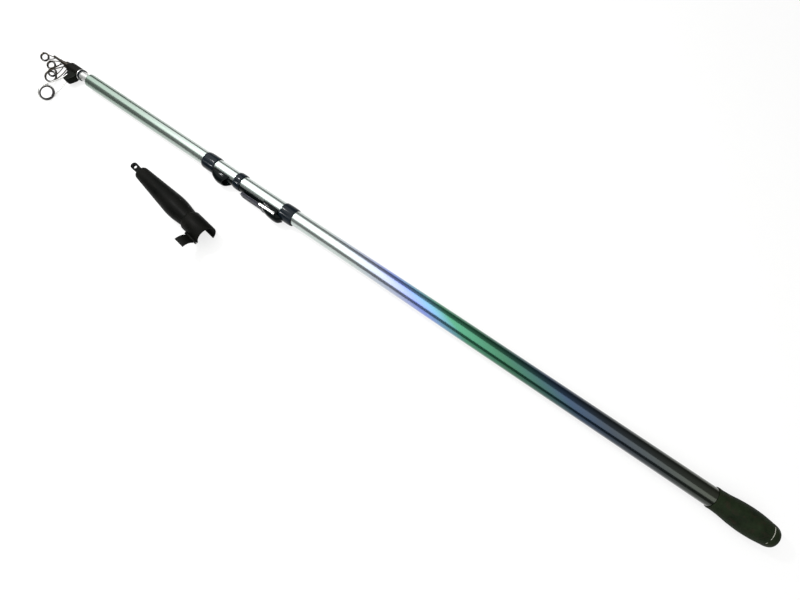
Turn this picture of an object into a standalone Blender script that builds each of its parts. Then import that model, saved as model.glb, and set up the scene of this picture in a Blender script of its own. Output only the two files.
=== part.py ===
"""Telescopic surf rod, collapsed and lying on its side, with its tip cover beside it.

Metres, +Z up. The origin is the middle of the butt plug's flat end face. The rod's axis is X, the tip
points to -X, and the guides and the reel seat stand out to -Y.
"""

from math import asin, cos, pi, radians, sin, sqrt

import bmesh
import bpy
from mathutils import Matrix, Vector

# Clearances
GAP = 0.0003            # between pieces that are fixed to each other
SLIDE_CLEARANCE = 0.0003
SEAT_CLEARANCE = 0.0004

# Butt section
BUTT_BLANK_LENGTH = 1.1181
BLANK_WALL = 0.0015
# Outer diameter of the butt blank at distances from its mouth
BLANK_TAPER = ((0.0, 0.0210), (0.220, 0.0215), (0.430, 0.0226), (0.700, 0.0252), (1.000, 0.0256))
MOUTH_CHAMFER = 0.0004

# Inner sections: how far each shows beyond the one outside it, its tip diameter and its wall
SECTION_2_SHOWS = 0.045
SECTION_2_TIP_OD = 0.0140
SECTION_2_WALL = 0.0012
SECTION_3_SHOWS = 0.010
SECTION_3_TIP_OD = 0.0092
SECTION_3_WALL = 0.0010
TIP_SECTION_SHOWS = 0.026
TIP_SECTION_TIP_OD = 0.0022

# Butt plug, its gasket, cushion and threaded socket
PLUG_HEAD_LENGTH = 0.0104
PLUG_HEAD_OD = 0.0292
PLUG_FACE_OD = 0.0190
PLUG_SHANK_OD = 0.0180
PLUG_SHANK_LENGTH = 0.0156
GASKET_THICKNESS = 0.0012
GASKET_OD = 0.0246
SOCKET_LENGTH = 0.0180
CUSHION_OD = 0.0150
CUSHION_THICKNESS = 0.0035

# Butt cap: its length, and its outer diameter at shares of it from the front rim
CAP_LENGTH = 0.0663
CAP_OUTLINE = ((0.0, 0.0280), (0.035, 0.0281), (0.07, 0.0277), (0.22, 0.0288), (0.38, 0.0316), (0.54, 0.0334),
               (0.66, 0.0338), (0.80, 0.0330), (0.92, 0.0312), (1.0, 0.0296))

# Reel seat, its places measured from the butt blank's mouth
PLATE_START = 0.2520
PLATE_LENGTH = 0.1630
PLATE_UNDER_FRONT_BAND = 0.0195
PLATE_UNDER_REAR_BAND = 0.0185
SEAT_BAND_LENGTHS = (0.0225, 0.0120, 0.0215)
SEAT_BAND_STARTS = (PLATE_START + PLATE_UNDER_FRONT_BAND - SEAT_BAND_LENGTHS[0], 0.3100,
                    PLATE_START + PLATE_LENGTH - PLATE_UNDER_REAR_BAND)
BAND_WALL = 0.0008
BAND_SHOULDER = (0.06, 0.16)     # beyond the plate's edge, the angles where its bore comes in to the blank
PLATE_THICKNESS = 0.0010
PLATE_HALF_ANGLE = radians(42)
PLATE_END_TAPER = 0.006
PLATE_END_SHARE = 0.45           # its width at its ends, as a share of the full width
PLATE_LAND = 0.0003      # how much the crown of the plate is flattened for a reel foot
PLATE_LANDS = ((0.2825, 0.3085), (0.3235, 0.3645))   # where it is flat, from the mouth
LAND_RAMP = 0.0008
HOOD_WALL = 0.0013
HOOD_RAIL_REACH = 0.0072     # how far from the rod's axis a hood's lower edges are
HOOD_POCKET_DEPTH = 0.003        # how far a pocket goes down past the rails' edges
HOOD_CUT_RUN = 0.02
FIXED_HOOD_FROM_BAND = 0.0014
FIXED_HOOD_LENGTH = 0.0295
FIXED_HOOD_HEIGHT = 0.0082
FIXED_HOOD_SLANT = 0.0085
SLIDER_FROM_BAND = 0.0012
SLIDER_LENGTH = 0.0350
SLIDER_OVERHANG = 0.0080     # how far its back reaches over the rear band
SLIDER_POCKET = 0.0175
SLIDER_HEIGHT = 0.0072
# Height of the sliding hood's crown at shares of its length from the mouth
SLIDER_OUTLINE = ((0.0, 0.50), (0.22, 0.78), (0.50, 0.95), (0.74, 1.0), (0.90, 0.84), (1.0, 0.42))
SLIDER_SLANT = 0.0040
SLIDER_BACK_WIDTH = 0.72
EAR_RADIUS = 0.0027

# Cam lever
LEVER_ARM_LENGTH = 0.0250
LEVER_LENGTH = 0.0636
LEVER_SHEET = 0.0016
LEVER_HEIGHT = 0.0032
LEVER_TONGUE_WIDTH = 0.0130
LEVER_BRIDGE = 0.0016
TONGUE_SETBACK = 0.003       # from the end of the grip
LEVER_SHEET_INWARD = 0.0002  # from the pin's axis towards the plate
GRIP_WIDTH = 0.0190
GRIP_THICKNESS = 0.0036
GRIP_CORNER = 0.004
GRIP_EDGE = 0.0007
PIN_RADIUS = 0.0014
PIN_HEAD_RADIUS = 0.0024
PIN_HEAD_HEIGHT = 0.0010
PIN_ABOVE_PLATE = 0.0032
CAM_HALF_WIDTH = 0.0046
CAM_THROW = 0.0005
CAM_LIFT_OFF = 0.0002    # what is left between the locked cam and the plate

# Guides: ring bore and insert sizes, ring place, collar length and wire
GUIDE_BAND = 0.0010      # radial thickness of a ring band
INSERT_WALL = 0.0024
INSERT_WIDTH = 0.0028
LARGE_RING_BORE = 0.0188
LARGE_RING_REACH = 0.0560
LARGE_RING_FROM_TIP = 0.0050
LARGE_COLLAR_LENGTH = 0.0263
LARGE_WIRE = 0.0018
MIDDLE_RING_BORE = 0.0136
MIDDLE_RING_REACH = 0.0308
MIDDLE_COLLAR_LENGTH = 0.0060
MIDDLE_RING_LEAN = 0.0062
MIDDLE_WIRE = 0.0015
FLOAT_RING_BORES = (0.0086, 0.0088)
FLOAT_RING_REACHES = (0.0238, 0.0148)
FLOAT_RING_LEANS = (0.0036, 0.0088)
FLOAT_COLLAR_LENGTH = 0.0064
FLOAT_COLLAR_BORES = (0.0054, 0.0040)
FLOAT_SPACING = 0.0009
FLOAT_WIRE = 0.0013
TIP_RING_BORE = 0.0086
TIP_RING_REACH = 0.0095
TIP_RING_LEAN = 0.0260
TIP_TUBE_LENGTH = 0.0140
TIP_WIRE = 0.0014
SMALL_INSERT_WALL = 0.0017
SMALL_INSERT_WIDTH = 0.0022
COLLAR_WALL = 0.0006
COLLAR_FIT = 0.00035
LEG_SINK = 0.00015       # how far a leg's end is let into the collar
LEG_SWING = radians(68)  # where the legs meet a ring, from its side nearest the rod

# Wraps on the collar of section 2
WRAP_WALL = 0.00055
TRIM_RING_WIDTH = 0.0016
EDGE_RING_WIDTH = 0.0020
FOOT_LENGTH = 0.0270
FOOT_REACH = 0.0230
FOOT_HALF_WIDTH = 0.0044
FOOT_FROM_TRIM = 0.0006
COLLAR_FROM_TIP = 0.001
MIDDLE_WRAP_LENGTH = 0.0026
MIDDLE_WRAP_WALL = 0.0016

# Tip cover, in its own frame: u runs from the shoulder to the mouth
COVER_PLACE = (-0.9465, -0.0738)
COVER_YAW = radians(-8.05)
COVER_LENGTH = 0.1515
COVER_WALL = 0.0016
# Half width and half height at distances from the shoulder
COVER_OUTLINE = ((0.0, 0.0088, 0.0062), (0.004, 0.0102, 0.0080), (0.030, 0.0122, 0.0112), (0.060, 0.0148, 0.0144),
                 (0.082, 0.0165, 0.0165), (0.094, 0.0160, 0.0160), (0.113, 0.0134, 0.0134))
COVER_BAND_START = 0.1160
COVER_BAND_RADIUS = 0.0157
LUG_LENGTH = 0.0180
LUG_WIDTH = 0.0104
LUG_THICKNESS = 0.0046
LUG_HOLE_WIDTH = 0.0048
LUG_HOLE_LENGTH = 0.0075
LUG_HOLE_PLACE = 0.0112   # its middle, from the shoulder
SLOT_LENGTH = 0.0235
SLOT_EDGE_HEIGHT = 0.0033
SLOT_END = radians(64)   # how far below the cover's side the slot reaches
CLASP_OPEN = radians(150)
CLASP_FIT = 0.0005
HINGE_OFFSET = 0.0012
KNUCKLE_RADIUS = 0.0022
KNUCKLE_LENGTH = 0.0025
KNUCKLE_SETBACK = 0.0006
COVER_PIN_RADIUS = 0.0009
COVER_PIN_PROUD = 0.0004

# Facets round a piece
BLANK_SIDES = 30
CAP_SIDES = 36
RING_SIDES = 24
TUBE_SIDES = 16
WIRE_SIDES = 8
BAND_ANGLES = [pi * i / 16 for i in range(-15, 17)]

# Where the pieces lie along the rod, worked out from the sizes above
PLUG_SEAT_X = -PLUG_HEAD_LENGTH
GASKET_X = PLUG_SEAT_X - GAP
BLANK_END_X = GASKET_X - GASKET_THICKNESS - GAP
MOUTH_X = BLANK_END_X - BUTT_BLANK_LENGTH
SHANK_END_X = PLUG_SEAT_X - PLUG_SHANK_LENGTH
CUSHION_X = SHANK_END_X - GAP
SECTION_BASE_X = CUSHION_X - CUSHION_THICKNESS - GAP
SECTION_2_TIP_X = MOUTH_X - SECTION_2_SHOWS
SECTION_3_TIP_X = SECTION_2_TIP_X - SECTION_3_SHOWS
TIP_X = SECTION_3_TIP_X - TIP_SECTION_SHOWS

# Radii of the nested sections
MOUTH_BORE = BLANK_TAPER[0][1] / 2 - BLANK_WALL
SECTION_2_BASE_R = MOUTH_BORE - SLIDE_CLEARANCE
SECTION_2_TIP_R = SECTION_2_TIP_OD / 2
SECTION_3_BASE_R = SECTION_2_TIP_R - SECTION_2_WALL - SLIDE_CLEARANCE
SECTION_3_TIP_R = SECTION_3_TIP_OD / 2
TIP_BASE_R = SECTION_3_TIP_R - SECTION_3_WALL - SLIDE_CLEARANCE
TIP_TIP_R = TIP_SECTION_TIP_OD / 2
CAP_LARGEST_R = max(od for _, od in CAP_OUTLINE) / 2


def clear_scene():
    for obj in list(bpy.data.objects):
        bpy.data.objects.remove(obj)


def material(name, colour, roughness, metallic=0.0):
    made = bpy.data.materials.new(name)
    made.use_nodes = True
    shader = made.node_tree.nodes["Principled BSDF"]
    shader.inputs["Base Color"].default_value = (*colour, 1.0)
    shader.inputs["Roughness"].default_value = roughness
    shader.inputs["Metallic"].default_value = metallic
    return made


def empty(name, place, parent=None, turn=(0.0, 0.0, 0.0)):
    """An empty on a joint's axis, or at the middle of what it carries. Its place is in its parent's frame."""
    made = bpy.data.objects.new(name, None)
    made.empty_display_size = 0.02
    made.location = place
    made.rotation_euler = turn
    made.parent = parent
    bpy.context.scene.collection.objects.link(made)
    return made


def object_from(name, mesh_edit, finish=None, carrier=None, shift=(0.0, 0.0, 0.0)):
    """A mesh object from a bmesh. Its points are moved by -shift, so that its origin is on the carrier."""
    bmesh.ops.remove_doubles(mesh_edit, verts=mesh_edit.verts, dist=1e-7)
    bmesh.ops.recalc_face_normals(mesh_edit, faces=mesh_edit.faces)
    mesh = bpy.data.meshes.new(name)
    mesh_edit.to_mesh(mesh)
    mesh_edit.free()
    mesh.transform(Matrix.Translation(-Vector(shift)))
    mesh.shade_smooth()
    mesh.set_sharp_from_angle(angle=radians(32))
    made = bpy.data.objects.new(name, mesh)
    bpy.context.scene.collection.objects.link(made)
    made.parent = carrier
    if finish:
        mesh.materials.append(finish)
    return made


def as_tool(obj):
    obj.hide_render = True
    obj.display_type = "WIRE"
    return obj


def combine(obj, tool, operation):
    modifier = obj.modifiers.new(operation.lower(), "BOOLEAN")
    modifier.operation = operation
    modifier.solver = "EXACT"
    modifier.object = as_tool(tool)


def join(obj, *tools):
    for tool in tools:
        combine(obj, tool, "UNION")


def cut(obj, *tools):
    for tool in tools:
        combine(obj, tool, "DIFFERENCE")


def lathe(profile, sides, centre=(0.0, 0.0), closed=False):
    """Turns a profile of (x, radius) points about a line along X. A closed profile makes a ring, and an
    open one is closed by its own ends on the axis or by flat caps."""
    mesh = bmesh.new()
    rings = []
    for x, radius in profile:
        count = 1 if radius < 1e-9 else sides
        rings.append([mesh.verts.new((x, centre[0] - radius * cos(2 * pi * i / sides),
                                      centre[1] + radius * sin(2 * pi * i / sides))) for i in range(count)])
    pairs = list(zip(rings, rings[1:]))
    if closed:
        pairs.append((rings[-1], rings[0]))
    for first, second in pairs:
        for i in range(sides):
            corners = [first[i % len(first)], first[(i + 1) % len(first)],
                       second[(i + 1) % len(second)], second[i % len(second)]]
            unique = list(dict.fromkeys(corners))
            if len(unique) > 2:
                mesh.faces.new(unique)
    if not closed:
        for ring in (rings[0], rings[-1]):
            if len(ring) > 1:
                mesh.faces.new(ring)
    return mesh


def loft(sections):
    """A closed solid through rings of points, with as many points in each."""
    mesh = bmesh.new()
    rings = [[mesh.verts.new(point) for point in section] for section in sections]
    for first, second in zip(rings, rings[1:]):
        count = len(first)
        for i in range(count):
            mesh.faces.new((first[i], first[(i + 1) % count], second[(i + 1) % count], second[i]))
    mesh.faces.new(rings[0])
    mesh.faces.new(rings[-1])
    return mesh


def wire(points, radius, sides=WIRE_SIDES):
    """A round wire with flat ends along a line of points."""
    points = [Vector(point) for point in points]
    sections = []
    side = (points[1] - points[0]).orthogonal()
    for i, point in enumerate(points):
        along = (points[min(i + 1, len(points) - 1)] - points[max(i - 1, 0)]).normalized()
        side = (side - along * side.dot(along)).normalized()
        other = along.cross(side)
        sections.append([point + radius * (side * cos(2 * pi * k / sides) + other * sin(2 * pi * k / sides))
                         for k in range(sides)])
    return loft(sections)


def prism(outline, low, high, plane="XY"):
    """An outline raised between two levels: of Z for the plane XY, or of Y for the plane XZ."""
    def lift(a, b, level):
        return (a, b, level) if plane == "XY" else (a, level, b)
    return loft([[lift(a, b, level) for a, b in outline] for level in (low, high)])


def block(low, high):
    corners = ((low[0], low[1]), (high[0], low[1]), (high[0], high[1]), (low[0], high[1]))
    return prism(corners, low[2], high[2])


def arc_points(centre, radius, start, end, count):
    """Points on an arc in a plane, ends included, with angles in radians."""
    angles = [start + (end - start) * i / (count - 1) for i in range(count)]
    return [(centre[0] + radius * cos(a), centre[1] + radius * sin(a)) for a in angles]


def smooth_curve(points, steps):
    """Points on a curve through the given (place, size) pairs, in straight order of place."""
    ends = [points[0], *points, points[-1]]
    curve = []
    for before, start, end, after in zip(ends, ends[1:], ends[2:], ends[3:]):
        for i in range(steps):
            t = i / steps
            slope_in = (end[1] - before[1]) / (end[0] - before[0]) if end[0] > before[0] else 0.0
            slope_out = (after[1] - start[1]) / (after[0] - start[0]) if after[0] > start[0] else 0.0
            span = end[0] - start[0]
            size = ((2 * t**3 - 3 * t**2 + 1) * start[1] + (t**3 - 2 * t**2 + t) * span * slope_in
                    + (3 * t**2 - 2 * t**3) * end[1] + (t**3 - t**2) * span * slope_out)
            curve.append((start[0] + span * t, size))
    return curve + [points[-1]]


def between(points, place):
    """The size at a place, on straight lines through (place, size) pairs."""
    for (start, first), (end, last) in zip(points, points[1:]):
        if place <= end:
            return first + (last - first) * max(0.0, (place - start) / (end - start))
    return points[-1][1]


def blank_radius(x):
    """Outer radius of the butt blank at a place along the rod."""
    return between(BLANK_TAPER, x - MOUTH_X) / 2


def butt_blank(finish, carrier):
    stations = [MOUTH_X + distance for distance, _ in BLANK_TAPER if distance < BUTT_BLANK_LENGTH] + [BLANK_END_X]
    outside = [(x, blank_radius(x)) for x in stations]
    inside = [(x, radius - BLANK_WALL) for x, radius in outside]
    outside[0:1] = [(MOUTH_X, outside[0][1] - MOUTH_CHAMFER), (MOUTH_X + MOUTH_CHAMFER, outside[0][1])]
    return object_from("butt_blank", lathe(outside + inside[::-1], BLANK_SIDES, closed=True), finish, carrier)


def inner_section(name, base_r, tip_r, tip_x, wall, finish, carrier):
    """A tapered tube from the cushion to its tip, or a solid taper where its wall is None."""
    outside = [(SECTION_BASE_X, base_r), (tip_x, tip_r)]
    if wall:
        mesh = lathe(outside + [(tip_x, tip_r - wall), (SECTION_BASE_X, base_r - wall)], BLANK_SIDES, closed=True)
    else:
        mesh = lathe([(SECTION_BASE_X, 0.0), *outside, (tip_x, 0.0)], TUBE_SIDES)
    return object_from(name, mesh, finish, carrier, shift=(MOUTH_X, 0.0, 0.0))


def ring(name, start, end, bore, outer, finish, carrier, edge=0.0, sides=BLANK_SIDES, shift=(0.0, 0.0, 0.0)):
    """A sleeve round the rod's axis, with its outer edges broken by edge."""
    profile = [(start, bore), (end, bore), (end, outer - edge), (end - edge, outer), (start + edge, outer),
               (start, outer - edge)]
    return object_from(name, lathe(list(dict.fromkeys(profile)), sides, closed=True), finish, carrier, shift=shift)


def butt_cap(finish, carrier):
    """The rubber cap: a rounded club end with a small rim at its front."""
    rear = PLUG_SEAT_X - GAP
    front = rear - CAP_LENGTH
    outside = [(front + CAP_LENGTH * share, od / 2) for share, od in smooth_curve(CAP_OUTLINE, 2)]
    bore = blank_radius(rear) + GAP
    profile = [(front, bore), *outside, (rear, bore)]
    return object_from("butt_cap", lathe(profile, CAP_SIDES, closed=True), finish, carrier)


def butt_plug(finish, carrier, centre):
    """The screw plug: a domed head with a flat end face, and the shank that holds its thread."""
    face, head, shank = PLUG_FACE_OD / 2, PLUG_HEAD_OD / 2, PLUG_SHANK_OD / 2
    dome = [(-PLUG_HEAD_LENGTH * (1 - sin(a)), face + (head - face) * cos(a))
            for a in [radians(18 * i) for i in range(5, -1, -1)]]
    profile = [(0.0, 0.0), *dome, (PLUG_SEAT_X, shank), (SHANK_END_X + 0.001, shank),
               (SHANK_END_X, shank - 0.001), (SHANK_END_X, 0.0)]
    return object_from("butt_plug", lathe(profile, CAP_SIDES), finish, carrier, shift=centre)


def plug_cushion(finish, carrier, centre):
    radius = CUSHION_OD / 2
    end = CUSHION_X - CUSHION_THICKNESS
    profile = [(CUSHION_X, 0.0), (CUSHION_X, radius), (end + 0.0006, radius), (end, radius - 0.0006), (end, 0.0)]
    return object_from("plug_cushion", lathe(profile, TUBE_SIDES), finish, carrier, shift=centre)


def plate_radius(x):
    """Outer radius of the seat plate, before its crown is flattened."""
    return blank_radius(x) + GAP + PLATE_THICKNESS


def land_level(start):
    """How far from the rod's axis a flat land of the plate is, from where it starts along the rod."""
    return plate_radius(MOUTH_X + start) - PLATE_LAND


def seat_plate(finish, carrier):
    """The long curved plate under the bands. Its crown has two flat lands that a reel foot rests on."""
    start = MOUTH_X + PLATE_START
    end = start + PLATE_LENGTH
    narrow = PLATE_HALF_ANGLE * PLATE_END_SHARE
    stations = [(start, narrow, None), (start + PLATE_END_TAPER, PLATE_HALF_ANGLE, None)]
    for land_start, land_end in PLATE_LANDS:
        level = land_level(land_start)
        first, last = MOUTH_X + land_start, MOUTH_X + land_end
        stations += [(first - LAND_RAMP, PLATE_HALF_ANGLE, None), (first, PLATE_HALF_ANGLE, level),
                     (last, PLATE_HALF_ANGLE, level), (last + LAND_RAMP, PLATE_HALF_ANGLE, None)]
    stations += [(end - PLATE_END_TAPER, PLATE_HALF_ANGLE, None), (end, narrow, None)]
    sections = []
    for x, half_angle, level in stations:
        outer, inner = plate_radius(x), blank_radius(x) + GAP
        edge = asin(sqrt(1.0 - ((level or outer - PLATE_LAND) / outer) ** 2))
        angles = [-half_angle, -(half_angle + edge) / 2, -edge, 0.0, edge, (half_angle + edge) / 2, half_angle]
        section = [(x, -min(outer * cos(a), level or outer), outer * sin(a)) for a in angles]
        section += [(x, -inner * cos(a), inner * sin(a)) for a in angles[::-1]]
        sections.append(section)
    return object_from("seat_plate", loft(sections), finish, carrier)


def band_bore(x, angle):
    """Inner radius of a seat band: round the blank, and out over the plate on its -Y side."""
    first, width = BAND_SHOULDER
    over_plate = 1.0 - min(1.0, max(0.0, (abs(angle) - PLATE_HALF_ANGLE - first) / width))
    return blank_radius(x) + GAP + (PLATE_THICKNESS + GAP) * over_plate


def seat_band(name, start, length, finish, carrier):
    """A thin sleeve that holds the plate to the blank, with slightly rounded edges."""
    mesh = bmesh.new()
    edge = BAND_WALL / 2
    stations = ((start, 0.0), (start + edge, edge), (start + length - edge, edge), (start + length, 0.0))
    loops = [[(x, band_bore(x, a) + edge + lift, a) for a in BAND_ANGLES] for x, lift in stations]
    loops += [[(x, band_bore(x, a), a) for a in BAND_ANGLES] for x in (start + length, start)]
    rings = [[mesh.verts.new((x, -r * cos(a), r * sin(a))) for x, r, a in loop] for loop in loops]
    for first, second in zip(rings, rings[1:] + rings[:1]):
        for i in range(len(first)):
            following = (i + 1) % len(first)
            mesh.faces.new((first[i], first[following], second[following], second[i]))
    return object_from(name, mesh, finish, carrier)


def arch(x, half_width, top, base, shear=0.0):
    """One section of a hood: a rounded arch over the plate, from base to top in -Y. Shear moves its crown
    along X, so that a hood's mouth can slant."""
    section = []
    for i in range(13):
        a = pi * i / 12
        across = half_width * (abs(cos(a)) ** 0.7) * (1 if cos(a) >= 0 else -1)
        height = sin(a) ** 0.8
        section.append((x + shear * height, -(base + (top - base) * height), across))
    return section


def hood_widths(butt_end):
    """Inner and outer half width of a hood that straddles the plate, and how near the axis its roof may be."""
    inner_half = plate_radius(butt_end) * sin(PLATE_HALF_ANGLE) + SEAT_CLEARANCE
    return inner_half, inner_half + HOOD_WALL, plate_radius(butt_end) + SEAT_CLEARANCE + HOOD_WALL


def clear_the_seat(made, low_x, high_x):
    """Cuts the plate's passage through a hood, and the saddle that keeps its rails off the blank."""
    ends = (low_x - HOOD_CUT_RUN, high_x + HOOD_CUT_RUN)
    passage_r = plate_radius(high_x) + SEAT_CLEARANCE
    angles = [PLATE_HALF_ANGLE * i / 6 for i in range(-6, 7)]
    arc = [(-passage_r * cos(a), passage_r * sin(a)) for a in angles]
    passage = loft([[(x, y, z) for y, z in [(0.0, arc[0][1]), *arc, (0.0, arc[-1][1])]] for x in ends])
    saddle_r = blank_radius(high_x) + 2 * GAP
    saddle = lathe([(ends[0], 0.0), (ends[0], saddle_r), (ends[1], saddle_r), (ends[1], 0.0)], CAP_SIDES)
    cut(made, object_from("plate_passage", passage), object_from("blank_saddle", saddle))


def fixed_hood(closed_x, finish, carrier):
    """A scoop over the plate that takes one end of a reel foot. Its slanted mouth faces the sliding hood."""
    mouth_x = closed_x + FIXED_HOOD_LENGTH
    inner_half, outer_half, low = hood_widths(mouth_x)
    rise = FIXED_HOOD_HEIGHT - HOOD_WALL
    outside, inside = [], []
    for share in (0.0, 0.12, 0.3, 0.55, 0.8, 1.0):
        top = low + rise * sin(share * pi / 2) ** 0.8
        outside.append(arch(closed_x + FIXED_HOOD_LENGTH * share, outer_half, top, HOOD_RAIL_REACH,
                            -FIXED_HOOD_SLANT * share))
    start = closed_x + HOOD_WALL * 1.4
    for share in (0.0, 0.3, 0.7, 1.0, 1.2):
        top = low - HOOD_WALL + rise * sin(min(1.0, share) * pi / 2) ** 0.8
        inside.append(arch(start + (mouth_x - start) * share, inner_half, top, HOOD_RAIL_REACH - HOOD_POCKET_DEPTH,
                           -FIXED_HOOD_SLANT * share))
    made = object_from("fixed_hood", loft(outside), finish, carrier)
    cut(made, object_from("hood_pocket", loft(inside)))
    clear_the_seat(made, closed_x, mouth_x)


def stadium(start, end, y, radius, turn=6):
    """The outline of a bar with round ends, in XY."""
    return (arc_points((end, y), radius, -pi / 2, pi / 2, turn)
            + arc_points((start, y), radius, pi / 2, 3 * pi / 2, turn))


def reel_seat(finishes, root):
    """The plate seat: bands, plate, fixed hood, and a sliding hood with its cam lever."""
    black, steel, grey = finishes
    starts = [MOUTH_X + start for start in SEAT_BAND_STARTS]
    for name, start, length in zip(("band_front", "band_middle", "band_rear"), starts, SEAT_BAND_LENGTHS):
        seat_band(name, start, length, black, root)
    seat_plate(black, root)
    fixed_hood(starts[0] + SEAT_BAND_LENGTHS[0] + FIXED_HOOD_FROM_BAND, black, root)
    sliding_hood(starts[2] - SLIDER_FROM_BAND, black, root, steel, grey)


def sliding_hood(rail_end, finish, root, steel, grey):
    """The hood that clamps a reel foot: a scoop at its mouth, and a rounded back that houses the lever's cam
    and reaches over the rear band. The lever's shaft runs through its ears."""
    back = rail_end + SLIDER_OVERHANG
    mouth = back - SLIDER_LENGTH
    place = (mouth + SLIDER_POCKET, 0.0, 0.0)
    carrier = empty("sliding_hood_slide", place, root)
    inner_half, outer_half, low = hood_widths(rail_end)
    rise = SLIDER_HEIGHT - HOOD_WALL
    outside, inside = [], []
    for share, height in smooth_curve(SLIDER_OUTLINE, 2):
        width = outer_half * min(1.0, SLIDER_BACK_WIDTH + 1.9 * (1.0 - share))
        outside.append(arch(mouth + SLIDER_LENGTH * share, width, low + rise * height, HOOD_RAIL_REACH,
                            SLIDER_SLANT * max(0.0, 1.0 - 2 * share)))
    passage_r = low - HOOD_WALL
    for share in (-0.25, 0.0, 0.35, 0.65, 0.85, 1.0):
        along = SLIDER_POCKET * share / SLIDER_LENGTH
        roof = rise * between(SLIDER_OUTLINE, along) * (1.0 - 0.85 * max(0.0, share) ** 3)
        inside.append(arch(mouth + SLIDER_POCKET * share, inner_half, passage_r + roof,
                           HOOD_RAIL_REACH - HOOD_POCKET_DEPTH, SLIDER_SLANT * max(0.0, 1.0 - 2 * along)))
    made = object_from("sliding_hood", loft(outside), finish, carrier, shift=place)
    pin_x = rail_end - EAR_RADIUS + GAP
    pin = (pin_x, -plate_radius(pin_x) - PIN_ABOVE_PLATE)
    chamber_half = CAM_HALF_WIDTH + GAP
    for side in (1, -1):
        low_z, high_z = sorted((side * (chamber_half + 0.0001), side * outer_half))
        join(made, object_from("ear", cylinder_z(pin, EAR_RADIUS, low_z, high_z)))
    cam_way = cam_radius() + CAM_THROW + GAP
    over_band = -(band_bore(back, 0.0) + BAND_WALL + SEAT_CLEARANCE)
    step = block((rail_end, over_band, -0.03), (back + 0.01, 0.0, 0.03))
    cut(made, object_from("hood_pocket", loft(inside)), object_from("band_step", step),
        object_from("cam_chamber", cylinder_z(pin, cam_way, -chamber_half, chamber_half, RING_SIDES)),
        object_from("shaft_bore", cylinder_z(pin, PIN_RADIUS + GAP, -2 * outer_half, 2 * outer_half)))
    clear_the_seat(made, mouth, rail_end)
    cam_lever(pin, outer_half + GAP, steel, grey, carrier, place)


def cylinder_z(centre, radius, low, high, sides=WIRE_SIDES * 2):
    outline = arc_points(centre, radius, 0.0, 2 * pi * (sides - 1) / sides, sides)
    return prism(outline, low, high)


def cam_radius():
    return PIN_ABOVE_PLATE - CAM_THROW - CAM_LIFT_OFF


def cam_lever(pin, arm_z, steel, grey, slider, slider_place):
    """A stirrup lever on the slider's ears. Its shaft has an eccentric middle that bears on the plate when
    the lever is swung over to the butt."""
    place = (pin[0], pin[1], 0.0)
    pivot = empty("lever_pivot", Vector(place) - Vector(slider_place), slider)
    half = LEVER_HEIGHT / 2
    arm_end = pin[0] - LEVER_ARM_LENGTH
    arm_outline = stadium(arm_end, pin[0], pin[1], half)
    frame = object_from("lever_frame", prism(arm_outline, arm_z, arm_z + LEVER_SHEET), steel, pivot, shift=place)
    join(frame, object_from("far_arm", prism(arm_outline, -arm_z - LEVER_SHEET, -arm_z)))
    top = pin[1] + LEVER_SHEET_INWARD - LEVER_SHEET / 2
    edge = arm_z + LEVER_SHEET - 0.0001
    tongue = LEVER_TONGUE_WIDTH / 2
    tip = pin[0] - LEVER_LENGTH + TONGUE_SETBACK
    shoulder = arm_end - 2 * LEVER_BRIDGE
    plan = [(arm_end + LEVER_BRIDGE, edge), (arm_end, edge), (shoulder, tongue), (tip, tongue),
            (tip, -tongue), (shoulder, -tongue), (arm_end, -edge), (arm_end + LEVER_BRIDGE, -edge)]
    join(frame, object_from("bridge", prism(plan, top, top + LEVER_SHEET, "XZ")))
    bore = cylinder_z(pin, PIN_RADIUS + GAP, -2 * edge, 2 * edge)
    cut(frame, object_from("lever_bore", bore))
    lever_grip(shoulder - LEVER_BRIDGE / 2, pin[0] - LEVER_LENGTH, top, grey, pivot, place)
    cam_shaft(pin, arm_z, steel, pivot, place)


def lever_grip(start, tip, top, finish, pivot, place):
    """The moulded grip that is pushed over the lever's tongue."""
    half = GRIP_WIDTH / 2
    corner = GRIP_CORNER
    outline = ([(start, -half), (start, half)] + arc_points((tip + corner, half - corner), corner, pi / 2, pi, 5)
               + arc_points((tip + corner, -half + corner), corner, pi, 3 * pi / 2, 5))
    middle = top + LEVER_SHEET / 2
    made = object_from("lever_grip", prism(outline, middle - GRIP_THICKNESS / 2, middle + GRIP_THICKNESS / 2, "XZ"),
                       finish, pivot, shift=place)
    pocket = block((tip + TONGUE_SETBACK - GAP, top - GAP, -LEVER_TONGUE_WIDTH / 2 - GAP),
                   (start + 0.002, top + LEVER_SHEET + GAP, LEVER_TONGUE_WIDTH / 2 + GAP))
    cut(made, object_from("grip_pocket", pocket))
    bevel = made.modifiers.new("soft edges", "BEVEL")
    bevel.width = GRIP_EDGE
    bevel.segments = 2
    bevel.limit_method = "ANGLE"


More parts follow.
